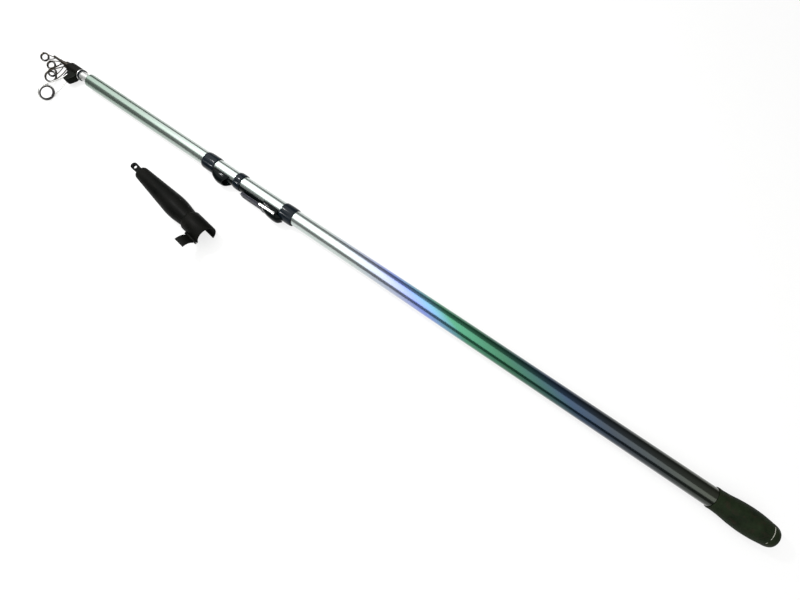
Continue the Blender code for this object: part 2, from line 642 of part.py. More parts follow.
def cam_shaft(pin, arm_z, finish, pivot, place):
    """The lever's shaft: a plain pin with rivet heads, and an eccentric cam between the ears."""
    head_from = arm_z + LEVER_SHEET + GAP
    cam_half = CAM_HALF_WIDTH
    sections = []
    levels = ((-head_from - PIN_HEAD_HEIGHT, PIN_HEAD_RADIUS * 0.75, 0.0), (-head_from, PIN_HEAD_RADIUS, 0.0),
              (-head_from, PIN_RADIUS, 0.0), (-cam_half, PIN_RADIUS, 0.0), (-cam_half, cam_radius(), CAM_THROW),
              (cam_half, cam_radius(), CAM_THROW), (cam_half, PIN_RADIUS, 0.0), (head_from, PIN_RADIUS, 0.0),
              (head_from, PIN_HEAD_RADIUS, 0.0), (head_from + PIN_HEAD_HEIGHT, PIN_HEAD_RADIUS * 0.75, 0.0))
    sides = WIRE_SIDES * 2
    for z, radius, throw in levels:
        angles = [2 * pi * i / sides for i in range(sides)]
        sections.append([(pin[0] + radius * cos(a), pin[1] - throw + radius * sin(a), z) for a in angles])
    object_from("cam_shaft", loft(sections), finish, pivot, shift=place)


def guide(name, collar, bore, ring_at, ring_bore, wire_width, insert, finishes, carrier, centre,
          foot_z=None, elbow=None, blind_from=None, sides=TUBE_SIDES):
    """A guide: a collar round the blank, a ring band held off it by two wire legs, and the ring's insert.

    collar is its (tip end, butt end), ring_at the ring's (x, reach), and insert its (wall, width). The legs
    run straight, or out to an elbow first. A tip guide's tube is blind from a place along the rod."""
    frame_finish, ring_finish = finishes
    insert_wall, insert_width = insert
    insert_r = ring_bore / 2 + insert_wall
    band_r = insert_r + GAP + GUIDE_BAND
    collar_r = bore + COLLAR_WALL
    x_ring, reach = ring_at
    foot = collar_r * 0.5 if foot_z is None else foot_z
    outside = [(collar[0], collar_r), (collar[1], collar_r), (collar[1], bore)]
    if blind_from is None:
        tube = lathe([*outside, (collar[0], bore)], sides, closed=True)
    else:
        tube = lathe([(collar[0], 0.0), *outside, (blind_from, bore), (blind_from, 0.0)], sides)
    frame = object_from(name + "_frame", tube, frame_finish, carrier, shift=centre)
    half = insert_width * 0.4
    edge = 0.0003
    band = [(x_ring - half, insert_r + GAP), (x_ring - half, band_r - edge), (x_ring - half + edge, band_r),
            (x_ring + half - edge, band_r), (x_ring + half, band_r - edge), (x_ring + half, insert_r + GAP)]
    join(frame, object_from(name + "_ring_band", lathe(band, RING_SIDES, centre=(-reach, 0.0), closed=True)))
    middle = x_ring + COLLAR_FROM_TIP if elbow else collar[0] + min(0.0022, (collar[1] - collar[0]) / 2)
    start_y = -sqrt((collar_r - LEG_SINK) ** 2 - foot**2)
    for side in (1, -1):
        start = (middle, start_y, side * foot)
        stop = (x_ring, -reach + band_r * cos(LEG_SWING), side * band_r * sin(LEG_SWING))
        points = [start, (middle, -elbow, side * foot), stop] if elbow else [start, stop]
        join(frame, object_from(name + "_leg", wire(points, wire_width / 2)))
    ring_insert(name + "_insert", x_ring, reach, ring_bore / 2, insert_r, insert_width, ring_finish, carrier, centre)


def ring_insert(name, x, reach, bore, outer, width, finish, carrier, centre):
    """The hard ring that the line runs through: flat outside, rounded inside."""
    half = width / 2
    wall = outer - bore
    lip = [(x - half * cos(a), bore + wall * 0.62 * (1 - sin(a))) for a in [pi * i / 3 for i in range(4)]]
    profile = [(x + half, outer), (x - half, outer), *lip]
    object_from(name, lathe(list(dict.fromkeys(profile)), RING_SIDES, centre=(-reach, 0.0), closed=True), finish,
                carrier, shift=centre)


def section_2(finishes, root):
    """The second section, with the collar, foot and guide at its tip."""
    silver, black, steel, ceramic = finishes
    carrier = empty("section_2_slide", (MOUTH_X, 0.0, 0.0), root)
    centre = (MOUTH_X, 0.0, 0.0)
    inner_section("section_2_blank", SECTION_2_BASE_R, SECTION_2_TIP_R, SECTION_2_TIP_X, SECTION_2_WALL, silver,
                  carrier)
    bore = SECTION_2_TIP_R + COLLAR_FIT
    collar = (SECTION_2_TIP_X + COLLAR_FROM_TIP, SECTION_2_TIP_X + COLLAR_FROM_TIP + LARGE_COLLAR_LENGTH)
    leg_x = SECTION_2_TIP_X + LARGE_RING_FROM_TIP + COLLAR_FROM_TIP
    tube = (collar[0], collar[1] - TRIM_RING_WIDTH - EDGE_RING_WIDTH - GAP)
    guide("large_guide", tube, bore, (leg_x - COLLAR_FROM_TIP, LARGE_RING_REACH), LARGE_RING_BORE, LARGE_WIRE,
          (INSERT_WALL, INSERT_WIDTH), (steel, ceramic), carrier, centre, foot_z=FOOT_HALF_WIDTH,
          elbow=FOOT_REACH, sides=RING_SIDES)
    wrap_bore = bore + COLLAR_WALL + GAP
    wrap_r = wrap_bore + WRAP_WALL
    trim_x = collar[1] - TRIM_RING_WIDTH - EDGE_RING_WIDTH
    wrap = ring("section_2_wrap", collar[0], trim_x - GAP, wrap_bore, wrap_r, black, carrier, edge=0.0002,
                shift=centre)
    ring("section_2_trim_ring", trim_x, trim_x + TRIM_RING_WIDTH, bore, wrap_r + 0.0002, steel, carrier,
         edge=0.0004, shift=centre)
    ring("section_2_edge_ring", trim_x + TRIM_RING_WIDTH + GAP, collar[1], bore, wrap_r, black, carrier,
         edge=0.0004, shift=centre)
    foot_start = collar[0] + 0.0005
    foot_end = min(foot_start + FOOT_LENGTH, trim_x - GAP)
    window = block((foot_start - GAP, -2 * wrap_r, -FOOT_HALF_WIDTH - LARGE_WIRE),
                   (foot_end + GAP - FOOT_FROM_TRIM, -2 * GAP, FOOT_HALF_WIDTH + LARGE_WIRE))
    cut(wrap, object_from("wrap_window", window))
    guide_foot(foot_start, foot_end - FOOT_FROM_TRIM, leg_x, bore + COLLAR_WALL + GAP, black, carrier, centre)


def guide_foot(start, end, leg_x, seat_r, finish, carrier, centre):
    """The moulded foot under the large guide. It seats on the collar, and a groove on each side shows a leg."""
    half = FOOT_HALF_WIDTH + LARGE_WIRE / 2
    outline = [(start, -seat_r * 0.6), (start, -seat_r - 0.003), (leg_x - 0.0022, -FOOT_REACH),
               (leg_x + 0.009, -FOOT_REACH), (end, -seat_r - 0.0035), (end, -seat_r * 0.6)]
    foot = object_from("large_guide_foot", prism(outline, -half, half), finish, carrier, shift=centre)
    seat = lathe([(start - 0.002, 0.0), (start - 0.002, seat_r), (end + 0.002, seat_r), (end + 0.002, 0.0)],
                 CAP_SIDES)
    cut(foot, object_from("foot_seat", seat))
    clear = LARGE_WIRE / 2 + GAP
    for side in (1, -1):
        low, high = sorted((side * (FOOT_HALF_WIDTH - clear), side * (half + 0.002)))
        groove = block((leg_x - clear, -FOOT_REACH - 0.002, low), (leg_x + clear, -seat_r * 0.5, high))
        cut(foot, object_from("leg_groove", groove))


def section_3(finishes, parent):
    silver, black, steel, ceramic = finishes
    carrier = empty("section_3_slide", (SECTION_2_TIP_X - MOUTH_X, 0.0, 0.0), parent)
    centre = (SECTION_2_TIP_X, 0.0, 0.0)
    blank = inner_section("section_3_blank", SECTION_3_BASE_R, SECTION_3_TIP_R, SECTION_3_TIP_X, SECTION_3_WALL,
                          silver, carrier)
    blank.location.x = MOUTH_X - SECTION_2_TIP_X
    bore = SECTION_3_TIP_R + 2 * GAP
    collar = (SECTION_3_TIP_X + GAP, SECTION_3_TIP_X + GAP + MIDDLE_COLLAR_LENGTH)
    guide("middle_guide", collar, bore, (collar[0] + 0.0012 - MIDDLE_RING_LEAN + 0.001, MIDDLE_RING_REACH),
          MIDDLE_RING_BORE, MIDDLE_WIRE, (SMALL_INSERT_WALL, SMALL_INSERT_WIDTH), (steel, ceramic), carrier, centre)
    ring("section_3_wrap", collar[1] + GAP, collar[1] + GAP + MIDDLE_WRAP_LENGTH, bore, bore + MIDDLE_WRAP_WALL,
         black, carrier, edge=0.0004, shift=centre)
    return carrier


def float_guides(finishes, parent):
    """Two guides that run free along the tip section. Collapsed, they stack on the mouth of section 3."""
    steel, ceramic = finishes
    end = SECTION_3_TIP_X - FLOAT_SPACING
    for i, name in enumerate(("float_guide_rear", "float_guide_front")):
        collar = (end - FLOAT_COLLAR_LENGTH, end)
        middle = (collar[0] + collar[1]) / 2
        carrier = empty(name + "_slide", (middle - SECTION_2_TIP_X, 0.0, 0.0), parent)
        guide(name, collar, FLOAT_COLLAR_BORES[i] / 2, (middle - FLOAT_RING_LEANS[i], FLOAT_RING_REACHES[i]),
              FLOAT_RING_BORES[i], FLOAT_WIRE, (SMALL_INSERT_WALL, SMALL_INSERT_WIDTH), (steel, ceramic), carrier,
              (middle, 0.0, 0.0))
        end = collar[0] - FLOAT_SPACING
    return end


def tip_section(finishes, parent, stack_end):
    silver, steel, ceramic = finishes
    carrier = empty("tip_section_slide", (SECTION_3_TIP_X - SECTION_2_TIP_X, 0.0, 0.0), parent)
    blank = inner_section("tip_blank", TIP_BASE_R, TIP_TIP_R, TIP_X, None, silver, carrier)
    blank.location.x = MOUTH_X - SECTION_3_TIP_X
    collar = (stack_end - TIP_TUBE_LENGTH, stack_end)
    bore = TIP_TIP_R + (TIP_BASE_R - TIP_TIP_R) * (collar[1] - TIP_X) / (SECTION_BASE_X - TIP_X) + GAP
    guide("tip_top", collar, bore, (collar[1] - TIP_RING_LEAN, TIP_RING_REACH), TIP_RING_BORE, TIP_WIRE,
          (SMALL_INSERT_WALL, SMALL_INSERT_WIDTH), (steel, ceramic), carrier, (SECTION_3_TIP_X, 0.0, 0.0),
          blind_from=TIP_X - GAP)


def floor_slopes():
    """The floor's rise along X and along Y. The rod lies on its cap, its mouth and its large guide ring."""
    cap_x = PLUG_SEAT_X - GAP - CAP_LENGTH * 0.4
    along = (CAP_LARGEST_R - blank_radius(MOUTH_X)) / (MOUTH_X - cap_x)
    ring_x = SECTION_2_TIP_X + LARGE_RING_FROM_TIP
    ring_r = LARGE_RING_BORE / 2 + INSERT_WALL + GAP + GUIDE_BAND
    under_ring = -blank_radius(MOUTH_X) + along * (ring_x - MOUTH_X)
    across = (under_ring + ring_r) / LARGE_RING_REACH
    return along, across


def floor_z(x, y):
    along, across = floor_slopes()
    return -blank_radius(MOUTH_X) + along * (x - MOUTH_X) + across * y


def cover_section(u, half_width, half_height, count=26):
    angles = [2 * pi * i / count for i in range(count)]
    return [(u, -half_width * cos(a), half_height * sin(a)) for a in angles]


def tip_cover(finishes):
    """The soft cover for the tip and its guides: a long shell with a lug, and a hinged clasp at its mouth."""
    black, steel = finishes
    largest = max(height for _, _, height in COVER_OUTLINE)
    along, across = floor_slopes()
    frame = empty("tip_cover_place", (*COVER_PLACE, floor_z(*COVER_PLACE) + largest))
    upright = Vector((-along, -across, 1.0)).normalized()
    forward = Vector((cos(COVER_YAW), sin(COVER_YAW), 0.0))
    sideways = upright.cross(forward).normalized()
    forward = sideways.cross(upright)
    frame.rotation_euler = Matrix((forward, sideways, upright)).transposed().to_euler()
    outside = [cover_section(*station) for station in COVER_OUTLINE]
    outside += [cover_section(u, COVER_BAND_RADIUS, COVER_BAND_RADIUS) for u in (COVER_BAND_START, COVER_LENGTH)]
    shell = object_from("cover_shell", loft(outside), black, frame)
    inside = [cover_section(u + COVER_WALL, width - COVER_WALL, height - COVER_WALL)
              for u, width, height in COVER_OUTLINE[1:]]
    inside += [cover_section(u, COVER_BAND_RADIUS - COVER_WALL, COVER_BAND_RADIUS - COVER_WALL)
               for u in (COVER_BAND_START + COVER_WALL, COVER_LENGTH + 0.004)]
    hinge = hinge_line()
    slot_from = COVER_LENGTH - SLOT_LENGTH
    join(shell, cover_tool("lug", lug(), frame))
    slot_side = -COVER_BAND_RADIUS * cos(SLOT_END)
    slot = block((slot_from, -0.03, -0.03), (COVER_LENGTH + 0.01, slot_side, SLOT_EDGE_HEIGHT))
    start, end = clasp_ends()
    knuckle_way = knuckle(start - CLASP_FIT, end + CLASP_FIT, hinge, KNUCKLE_RADIUS + CLASP_FIT)
    cut(shell, cover_tool("cavity", loft(inside), frame), cover_tool("slot", slot, frame),
        cover_tool("knuckle_way", knuckle_way, frame), cover_tool("lug_hole", lug_hole(), frame))
    join(shell, *shell_knuckles(hinge, frame))
    cut(shell, cover_tool("hinge_bore", pin_bore(hinge), frame))
    pin_ends = (slot_from + GAP - COVER_PIN_PROUD, COVER_LENGTH - KNUCKLE_SETBACK + COVER_PIN_PROUD)
    object_from("clasp_pin", wire([(u, *hinge) for u in pin_ends], COVER_PIN_RADIUS, 12), steel, frame)
    clasp(hinge, black, frame)


def cover_tool(name, mesh, frame):
    return object_from("cover_" + name, mesh, carrier=frame)


def lug():
    """A flat eye at the closed end for a strap."""
    end = LUG_WIDTH / 2
    waist = LUG_WIDTH * 0.42
    outline = ([(0.006, waist), (-0.003, waist), (-0.006, end * 0.93)]
               + arc_points((-LUG_LENGTH + end, 0.0), end, pi / 2, 3 * pi / 2, 11)
               + [(-0.006, -end * 0.93), (-0.003, -waist), (0.006, -waist)])
    return prism(outline, -LUG_THICKNESS / 2, LUG_THICKNESS / 2)


def lug_hole():
    radius = LUG_HOLE_WIDTH / 2
    run = LUG_HOLE_LENGTH / 2 - radius
    outline = stadium(-LUG_HOLE_PLACE - run, -LUG_HOLE_PLACE + run, 0.0, radius)
    return prism(outline, -LUG_THICKNESS, LUG_THICKNESS)


def hinge_line():
    """Where the clasp's pin runs, in the cover's frame: just outside the shell, at the slot's upper edge."""
    reach = COVER_BAND_RADIUS + HINGE_OFFSET
    height = SLOT_EDGE_HEIGHT + KNUCKLE_RADIUS * 0.4
    return (-sqrt(reach**2 - height**2), height)


def knuckle(start, end, hinge, radius=KNUCKLE_RADIUS):
    return wire([(start, *hinge), (end, *hinge)], radius, 14)


def shell_knuckles(hinge, frame):
    near = COVER_LENGTH - SLOT_LENGTH + GAP
    far = COVER_LENGTH - KNUCKLE_SETBACK - KNUCKLE_LENGTH
    return [cover_tool("knuckle", knuckle(u, u + KNUCKLE_LENGTH, hinge), frame) for u in (near, far)]


def pin_bore(hinge):
    return wire([(COVER_LENGTH - SLOT_LENGTH - 0.01, *hinge), (COVER_LENGTH + 0.01, *hinge)],
                COVER_PIN_RADIUS + GAP, 12)


def clasp_ends():
    """Where the clasp begins and ends between the shell's knuckles."""
    start = COVER_LENGTH - SLOT_LENGTH + GAP + KNUCKLE_LENGTH + CLASP_FIT
    end = COVER_LENGTH - KNUCKLE_SETBACK - KNUCKLE_LENGTH - CLASP_FIT
    return start, end


def clasp(hinge, finish, frame):
    """The hinged strap that closes the slot. It is drawn closed, and the empty on its pin swings it open."""
    start, end = clasp_ends()
    pivot = empty("clasp_hinge", (0.0, *hinge), frame, turn=(-CLASP_OPEN, 0.0, 0.0))
    first = asin(SLOT_EDGE_HEIGHT / COVER_BAND_RADIUS) - CLASP_FIT / COVER_BAND_RADIUS
    last = -SLOT_END + 2 * CLASP_FIT / COVER_BAND_RADIUS
    outer, inner = COVER_BAND_RADIUS, COVER_BAND_RADIUS - COVER_WALL
    angles = [first + (last - first) * i / 10 for i in range(11)]
    outline = [(-outer * cos(a), outer * sin(a)) for a in angles]
    outline += [(-inner * cos(a), inner * sin(a)) for a in angles[::-1]]
    plate = loft([[(u, y, z) for y, z in outline] for u in (start, end)])
    made = object_from("cover_clasp", plate, finish, pivot, shift=(0.0, *hinge))
    grip = knuckle(start + CLASP_FIT, end - CLASP_FIT, hinge)
    join(made, object_from("clasp_knuckle", grip, carrier=pivot, shift=(0.0, *hinge)))
    cut(made, object_from("clasp_bore", pin_bore(hinge), carrier=pivot, shift=(0.0, *hinge)))


def build():
    clear_scene()
    lacquer = material("iridescent_lacquer", (0.45, 0.52, 0.56), 0.22, 0.6)
    silver = material("silver_lacquer", (0.62, 0.64, 0.65), 0.25, 0.6)
    black = material("black_plastic", (0.012, 0.013, 0.014), 0.38)
    rubber = material("black_rubber", (0.035, 0.042, 0.040), 0.75)
    steel = material("polished_steel", (0.72, 0.72, 0.70), 0.16, 1.0)
    grey = material("grey_plastic", (0.16, 0.16, 0.18), 0.35)
    ceramic = material("dark_ceramic", (0.03, 0.03, 0.035), 0.2)
    brass = material("plug_brass", (0.55, 0.42, 0.20), 0.35, 1.0)

    root = empty("rod", (0.0, 0.0, 0.0))
    butt_blank(lacquer, root)
    butt_cap(rubber, root)
    ring("plug_socket", BLANK_END_X - SOCKET_LENGTH, BLANK_END_X, PLUG_SHANK_OD / 2 + GAP,
         blank_radius(BLANK_END_X) - BLANK_WALL - GAP, brass, root)
    plug_slide = empty("plug_slide", (PLUG_SEAT_X, 0.0, 0.0), root)
    ring("plug_gasket", GASKET_X - GASKET_THICKNESS, GASKET_X, PLUG_SHANK_OD / 2 + GAP, GASKET_OD / 2, rubber,
         plug_slide, shift=(PLUG_SEAT_X, 0.0, 0.0))
    plug_turn = empty("plug_turn", (0.0, 0.0, 0.0), plug_slide)
    butt_plug(black, plug_turn, (PLUG_SEAT_X, 0.0, 0.0))
    plug_cushion(rubber, plug_turn, (PLUG_SEAT_X, 0.0, 0.0))
    reel_seat((black, steel, grey), root)
    section_2((silver, black, steel, ceramic), root)
    second = bpy.data.objects["section_2_slide"]
    third = section_3((silver, black, steel, ceramic), second)
    stack_end = float_guides((steel, ceramic), third)
    tip_section((silver, steel, ceramic), third, stack_end)
    tip_cover((black, steel))


build()
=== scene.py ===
"""Dresses the collapsed surf rod and its tip cover: fine forms, finishes, and a plain white studio."""

from math import asin, cos, pi, radians, sin, sqrt

import bmesh
import bpy
from mathutils import Matrix, Vector

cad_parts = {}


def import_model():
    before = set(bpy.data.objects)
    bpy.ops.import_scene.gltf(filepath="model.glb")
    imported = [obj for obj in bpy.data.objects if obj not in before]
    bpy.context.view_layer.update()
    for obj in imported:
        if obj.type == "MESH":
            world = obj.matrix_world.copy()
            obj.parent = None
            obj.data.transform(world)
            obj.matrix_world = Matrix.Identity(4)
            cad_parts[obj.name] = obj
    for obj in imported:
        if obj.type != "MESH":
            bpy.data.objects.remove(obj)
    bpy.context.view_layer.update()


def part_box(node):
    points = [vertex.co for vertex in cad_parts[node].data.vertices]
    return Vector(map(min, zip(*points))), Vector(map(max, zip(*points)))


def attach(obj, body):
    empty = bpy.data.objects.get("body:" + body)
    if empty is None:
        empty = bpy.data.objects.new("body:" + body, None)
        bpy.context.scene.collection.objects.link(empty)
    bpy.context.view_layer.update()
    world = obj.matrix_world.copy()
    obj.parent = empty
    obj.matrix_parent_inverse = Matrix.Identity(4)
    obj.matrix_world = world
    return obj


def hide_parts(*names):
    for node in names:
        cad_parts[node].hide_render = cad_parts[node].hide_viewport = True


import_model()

# Sizes of the rod, in metres. Most are those of its solids
GAP = 0.0003
SEAT_CLEARANCE = 0.0004
BLANK_TAPER = ((0.0, 0.0210), (0.220, 0.0215), (0.430, 0.0226), (0.700, 0.0252), (1.000, 0.0256))
BLANK_WALL = 0.0015
BLANK_LIP = 0.0004
BLANK_LIP_ROLL = 0.00012
SECTION_2_TIP_RADIUS = 0.0070
SECTION_2_WALL = 0.0012
SECTION_3_TIP_RADIUS = 0.0046
SECTION_3_WALL = 0.0010
INNER_LIP = 0.0002
INNER_LIP_STEPS = (0.002, 0.001, 0.0002)
TIP_END_RADIUS = 0.0011
TIP_CHAMFER = 0.0003
CAP_OUTLINE = ((0.0, 0.0280), (0.035, 0.0281), (0.07, 0.0277), (0.22, 0.0288), (0.38, 0.0316),
               (0.54, 0.0334), (0.66, 0.0338), (0.80, 0.0330), (0.92, 0.0312), (1.0, 0.0296))
CAP_FRONT_ROLL = 0.0004
CAP_EDGE = 0.0003
PLUG_FACE_OD = 0.0190
PLUG_EDGE = 0.0002
PLUG_END_CHAMFER = 0.0010
PLUG_SHANK_RADIUS = 0.0090
THREAD_PITCH = 0.0025
THREAD_DEPTH = 0.0005
THREAD_CREST = (0.0, 0.3)
THREAD_ROOT = (0.5, 0.8)
THREAD_FROM_HEAD = 0.0010
THREAD_FROM_END = 0.0012
GASKET_EDGE = 0.0005
CUSHION_EDGE = 0.0008
SOCKET_EDGE = 0.0004
PLATE_THICKNESS = 0.0010
PLATE_HALF_ANGLE = radians(42)
PLATE_END_TAPER = 0.006
PLATE_END_SHARE = 0.45
PLATE_EDGE_RUN = 0.0006
PLATE_EDGE_DROP = 0.35
PLATE_LAND = 0.0003
PLATE_LANDS = ((0.2825, 0.3085), (0.3235, 0.3645))
LAND_RAMP = 0.0008
BAND_WALL = 0.0008
BAND_EDGE = 0.0002
BAND_ROLL = 14
BAND_STATIONS = (0.0, 0.01, 0.03, 0.06, 0.12, 0.2, 0.3, 0.4, 0.5, 0.6, 0.7, 0.8, 0.88, 0.94, 0.97,
                 0.99, 1.0)
BAND_SHOULDER = (0.06, 0.16)
ARCH_SIDE = 0.7
ARCH_CROWN = 0.8
HOOD_WALL = 0.0013
HOOD_RAIL_REACH = 0.0072
HOOD_POCKET_DEPTH = 0.003
HOOD_CUT_RUN = 0.02
HOOD_FULL_AT = 0.8
HOOD_STEEPNESS = 0.55
HOOD_DROOP = 0.14
HOOD_DROOP_START = 0.6
FIXED_HOOD_SLANT = 0.0085
FIXED_HOOD_STATIONS = (0.0, 0.03, 0.07, 0.12, 0.18, 0.25, 0.33, 0.42, 0.52, 0.62, 0.74, 0.86, 1.0)
FIXED_POCKET_STATIONS = (0.0, 0.04, 0.1, 0.18, 0.3, 0.45, 0.6, 0.8, 1.0, 1.2)
FIXED_HOOD_BACK_WALL = 0.00182
FIXED_HOOD_HEIGHT = 0.0082
FIXED_HOOD_EDGE = 0.00035
SLIDER_OUTLINE = ((0.0, 0.50), (0.22, 0.78), (0.50, 0.95), (0.74, 1.0), (0.90, 0.84), (1.0, 0.42))
SLIDER_OVERHANG = 0.0080
SLIDER_POCKET = 0.0175
SLIDER_POCKET_STATIONS = (-0.25, 0.0, 0.2, 0.35, 0.5, 0.65, 0.78, 0.88, 0.95, 1.0)
SLIDER_SLANT = 0.0040
SLIDER_BACK_WIDTH = 0.72
SLIDER_BACK_DRAFT = 1.9
POCKET_CLOSING = 0.85
EAR_INSET = 0.0001
SLIDER_EDGE = 0.0003
EAR_RADIUS = 0.0027
PIN_ABOVE_PLATE = 0.0032
PIN_RADIUS = 0.0014
PIN_HEAD_RADIUS = 0.0024
PIN_HEAD_HEIGHT = 0.0010
CAM_HALF_WIDTH = 0.0046
CAM_RADIUS = 0.0025
CAM_THROW = 0.0005
LEVER_ARM_LENGTH = 0.0250
LEVER_LENGTH = 0.0636
LEVER_SHEET = 0.0016
LEVER_BRIDGE = 0.0016
LEVER_SHEET_INWARD = 0.0002
LEVER_EDGE = 0.0004
BRIDGE_INSET = 0.0001
TONGUE_SETBACK = 0.003
GRIP_THICKNESS = 0.0036
GRIP_CORNER = 0.004
GRIP_EDGE = 0.0005
RIB_PITCH = 0.0021
RIB_GROOVE = 0.00042
RIB_SETBACK = 0.0040
SIDE_GROOVE = 0.00032
SIDE_GROOVE_LEVELS = (0.32, 0.68)
SIDE_GROOVE_INSET = 0.001
SIDE_GROOVE_SETBACK = 0.0045
RING_BAND = 0.0010
RING_BAND_HALF = 0.4
RING_ROUND = 0.0005
LEG_SINK = 0.00015
LEG_SWING = radians(68)
LEG_FROM_COLLAR_END = 0.0022
LEG_FOOT_SHARE = 0.5
LEG_BELLY = 0.0006
LEG_BELLY_SHARE = 0.58
ELBOW_RADIUS = 0.008
BEAD_SHARE = 0.72
BEAD_INSET = 0.0001
COLLAR_WALL = 0.0006
COLLAR_FIT = 0.00035
COLLAR_EDGE = 0.0002
LARGE_WIRE = 0.0018
MIDDLE_WIRE = 0.0015
FLOAT_WIRE = 0.0013
TIP_WIRE = 0.0014
SMALL_INSERT_WALL = 0.0017
INSERT_EDGE = 0.0003
INSERT_ROUND = 0.62
MIDDLE_COLLAR_LENGTH = 0.0060
FLOAT_COLLAR_LENGTH = 0.0064
FLOAT_COLLAR_BORES = (("float_guide_rear", 0.0027), ("float_guide_front", 0.0020))
TIP_TUBE_LENGTH = 0.0140
LARGE_COLLAR_FROM_TIP = 0.0010
LARGE_LEG_FROM_TIP = 0.0060
LARGE_LEG_ELBOW = 0.0230
LARGE_LEG_SPREAD = 0.0044
WRAP_EDGE = 0.00025
TRIM_EDGE = 0.0006
SMALL_WRAP_EDGE = 0.0007
FOOT_ROOT_SHARE = 0.6
FOOT_LEDGE = 0.003
FOOT_BACK_LEDGE = 0.0035
FOOT_NOSE = (0.0026, 0.0005)
FOOT_HEEL = (0.0070, 0.0092)
FOOT_CUT_RUN = 0.002
FOOT_GROOVE_EDGE = 0.0003
COVER_PLACE = (-0.9465, -0.0738)
COVER_YAW = radians(-8.05)
COVER_LENGTH = 0.1515
COVER_WALL = 0.0016
COVER_OUTLINE = ((0.0, 0.0088, 0.0062), (0.004, 0.0102, 0.0080), (0.030, 0.0122, 0.0112),
                 (0.060, 0.0148, 0.0144), (0.082, 0.0165, 0.0165), (0.094, 0.0160, 0.0160),
                 (0.113, 0.0134, 0.0134))
COVER_SHOULDER = ((0.0, 0.0080, 0.0054), (0.0004, 0.0085, 0.0059))
COVER_CORNER = 0.007
COVER_RIM = 0.0005
COVER_RIM_DROP = 0.00035
COVER_CUT_RUN = 0.01
MOUTH_CUT_RUN = 0.004
COVER_EDGE = 0.00035
COVER_BAND_START = 0.1160
COVER_STEP = ((-0.0008, 0.0010), (0.0, 0.0002), (0.0006, 0.0))
COVER_BAND_RADIUS = 0.0157
LUG_LENGTH = 0.0180
LUG_WIDTH = 0.0104
LUG_WAIST = 0.008736
LUG_NECK = 0.009672
LUG_THICKNESS = 0.0046
LUG_ROOT = 0.006
LUG_WAIST_PLACE = 0.003
LUG_NECK_PLACE = 0.006
LUG_HOLE_WIDTH = 0.0048
LUG_HOLE_LENGTH = 0.0075
LUG_HOLE_PLACE = 0.0112
SLOT_LENGTH = 0.0235
SLOT_EDGE_HEIGHT = 0.0033
SLOT_END = radians(64)
CLASP_OPEN = radians(150)
CLASP_FIT = 0.0005
CLASP_EDGE = 0.0003
PIN_EDGE = 0.0002
HINGE_OFFSET = 0.0012
HINGE_RISE = 0.00088
KNUCKLE_RADIUS = 0.0022
KNUCKLE_LENGTH = 0.0025
KNUCKLE_SETBACK = 0.0006
COVER_PIN_RADIUS = 0.0009
COVER_PIN_PROUD = 0.0004

# Sizes that follow the photo more closely than the solids do
BAND_SWELL = 0.0003
SLIDER_HEIGHT = 0.0088
LEVER_HEIGHT = 0.0028
LEVER_TONGUE_WIDTH = 0.0078
GRIP_WIDTH = 0.0122
HOLLOW_DEPTH = 0.0040
HOLLOW_RIM_LEVEL = 0.0008
HOLLOW_RIM_RADIUS = 0.001104
HOLLOW_FLOOR_RADIUS = 0.000864
HOLLOW_MIDDLE_RADIUS = 0.000072
LARGE_INSERT_WALL = 0.0029
FOOT_FORWARD = 0.0035
FOOT_EDGE = 0.0014
FOOT_GROOVE_FROM_SEAT = 0.0052
SLOT_FAR_END = radians(108)

# Where the photo was taken from
CAMERA_PLACE = (-0.39781651, -0.18530965, 0.62368129)
CAMERA_LENS = 22.05
CAMERA_TILT = radians(18.65063)
CAMERA_HEADING = radians(35.49113)

# The floor touches the cap and the large ring: its rise along X and Y, and its level at 0
FLOOR_ALONG = -0.005855
FLOOR_ACROSS = 0.050611
FLOOR_LEVEL = -0.017118

# How far a cutting block reaches past what it cuts
FAR = 0.03

# The most of a side that a rounded corner takes, and the angle from which no corner is rounded
CORNER_SHARE = 0.45
NEARLY_STRAIGHT = radians(172)

# How finely round forms are drawn
FINE = 96
RING = 72
MEDIUM = 48
KNUCKLE = 28
SMALL = 20


def low_end(node, axis=0):
    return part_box(node)[0][axis]


def high_end(node, axis=0):
    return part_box(node)[1][axis]


MOUTH_X = low_end("butt_blank")
BLANK_END_X = high_end("butt_blank")


# Forms


def crease(mesh, angle):
    """Shades a mesh smooth but for edges sharper than an angle in degrees."""
    mesh.shade_smooth()
    mesh.set_sharp_from_angle(angle=radians(angle))


def linked(name, data):
    """An object in the scene."""
    made = bpy.data.objects.new(name, data)
    bpy.context.scene.collection.objects.link(made)
    return made


def piece(name, mesh_edit, finish, smooth=40, place=None):
    """An object from a bmesh, smooth but for edges sharper than an angle in degrees."""
    bmesh.ops.remove_doubles(mesh_edit, verts=mesh_edit.verts, dist=1e-7)
    bmesh.ops.recalc_face_normals(mesh_edit, faces=mesh_edit.faces)
    mesh = bpy.data.meshes.new(name)
    mesh_edit.to_mesh(mesh)
    mesh_edit.free()
    crease(mesh, smooth)
    made = linked(name, mesh)
    if place:
        made.matrix_world = place
    if finish:
        mesh.materials.append(finish)
    return made


def carry(made, body, slot, *nodes):
    """Puts a piece on its body, in place of the plain solids that it stands for."""
    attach(made, body)
    if nodes:
        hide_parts(*nodes)
    return made


def dress(node, mesh_edit, finish, body, slot, smooth=40):
    """A fine piece in place of one node's plain solid."""
    return carry(piece(node + "_fine", mesh_edit, finish, smooth), body, slot, node)


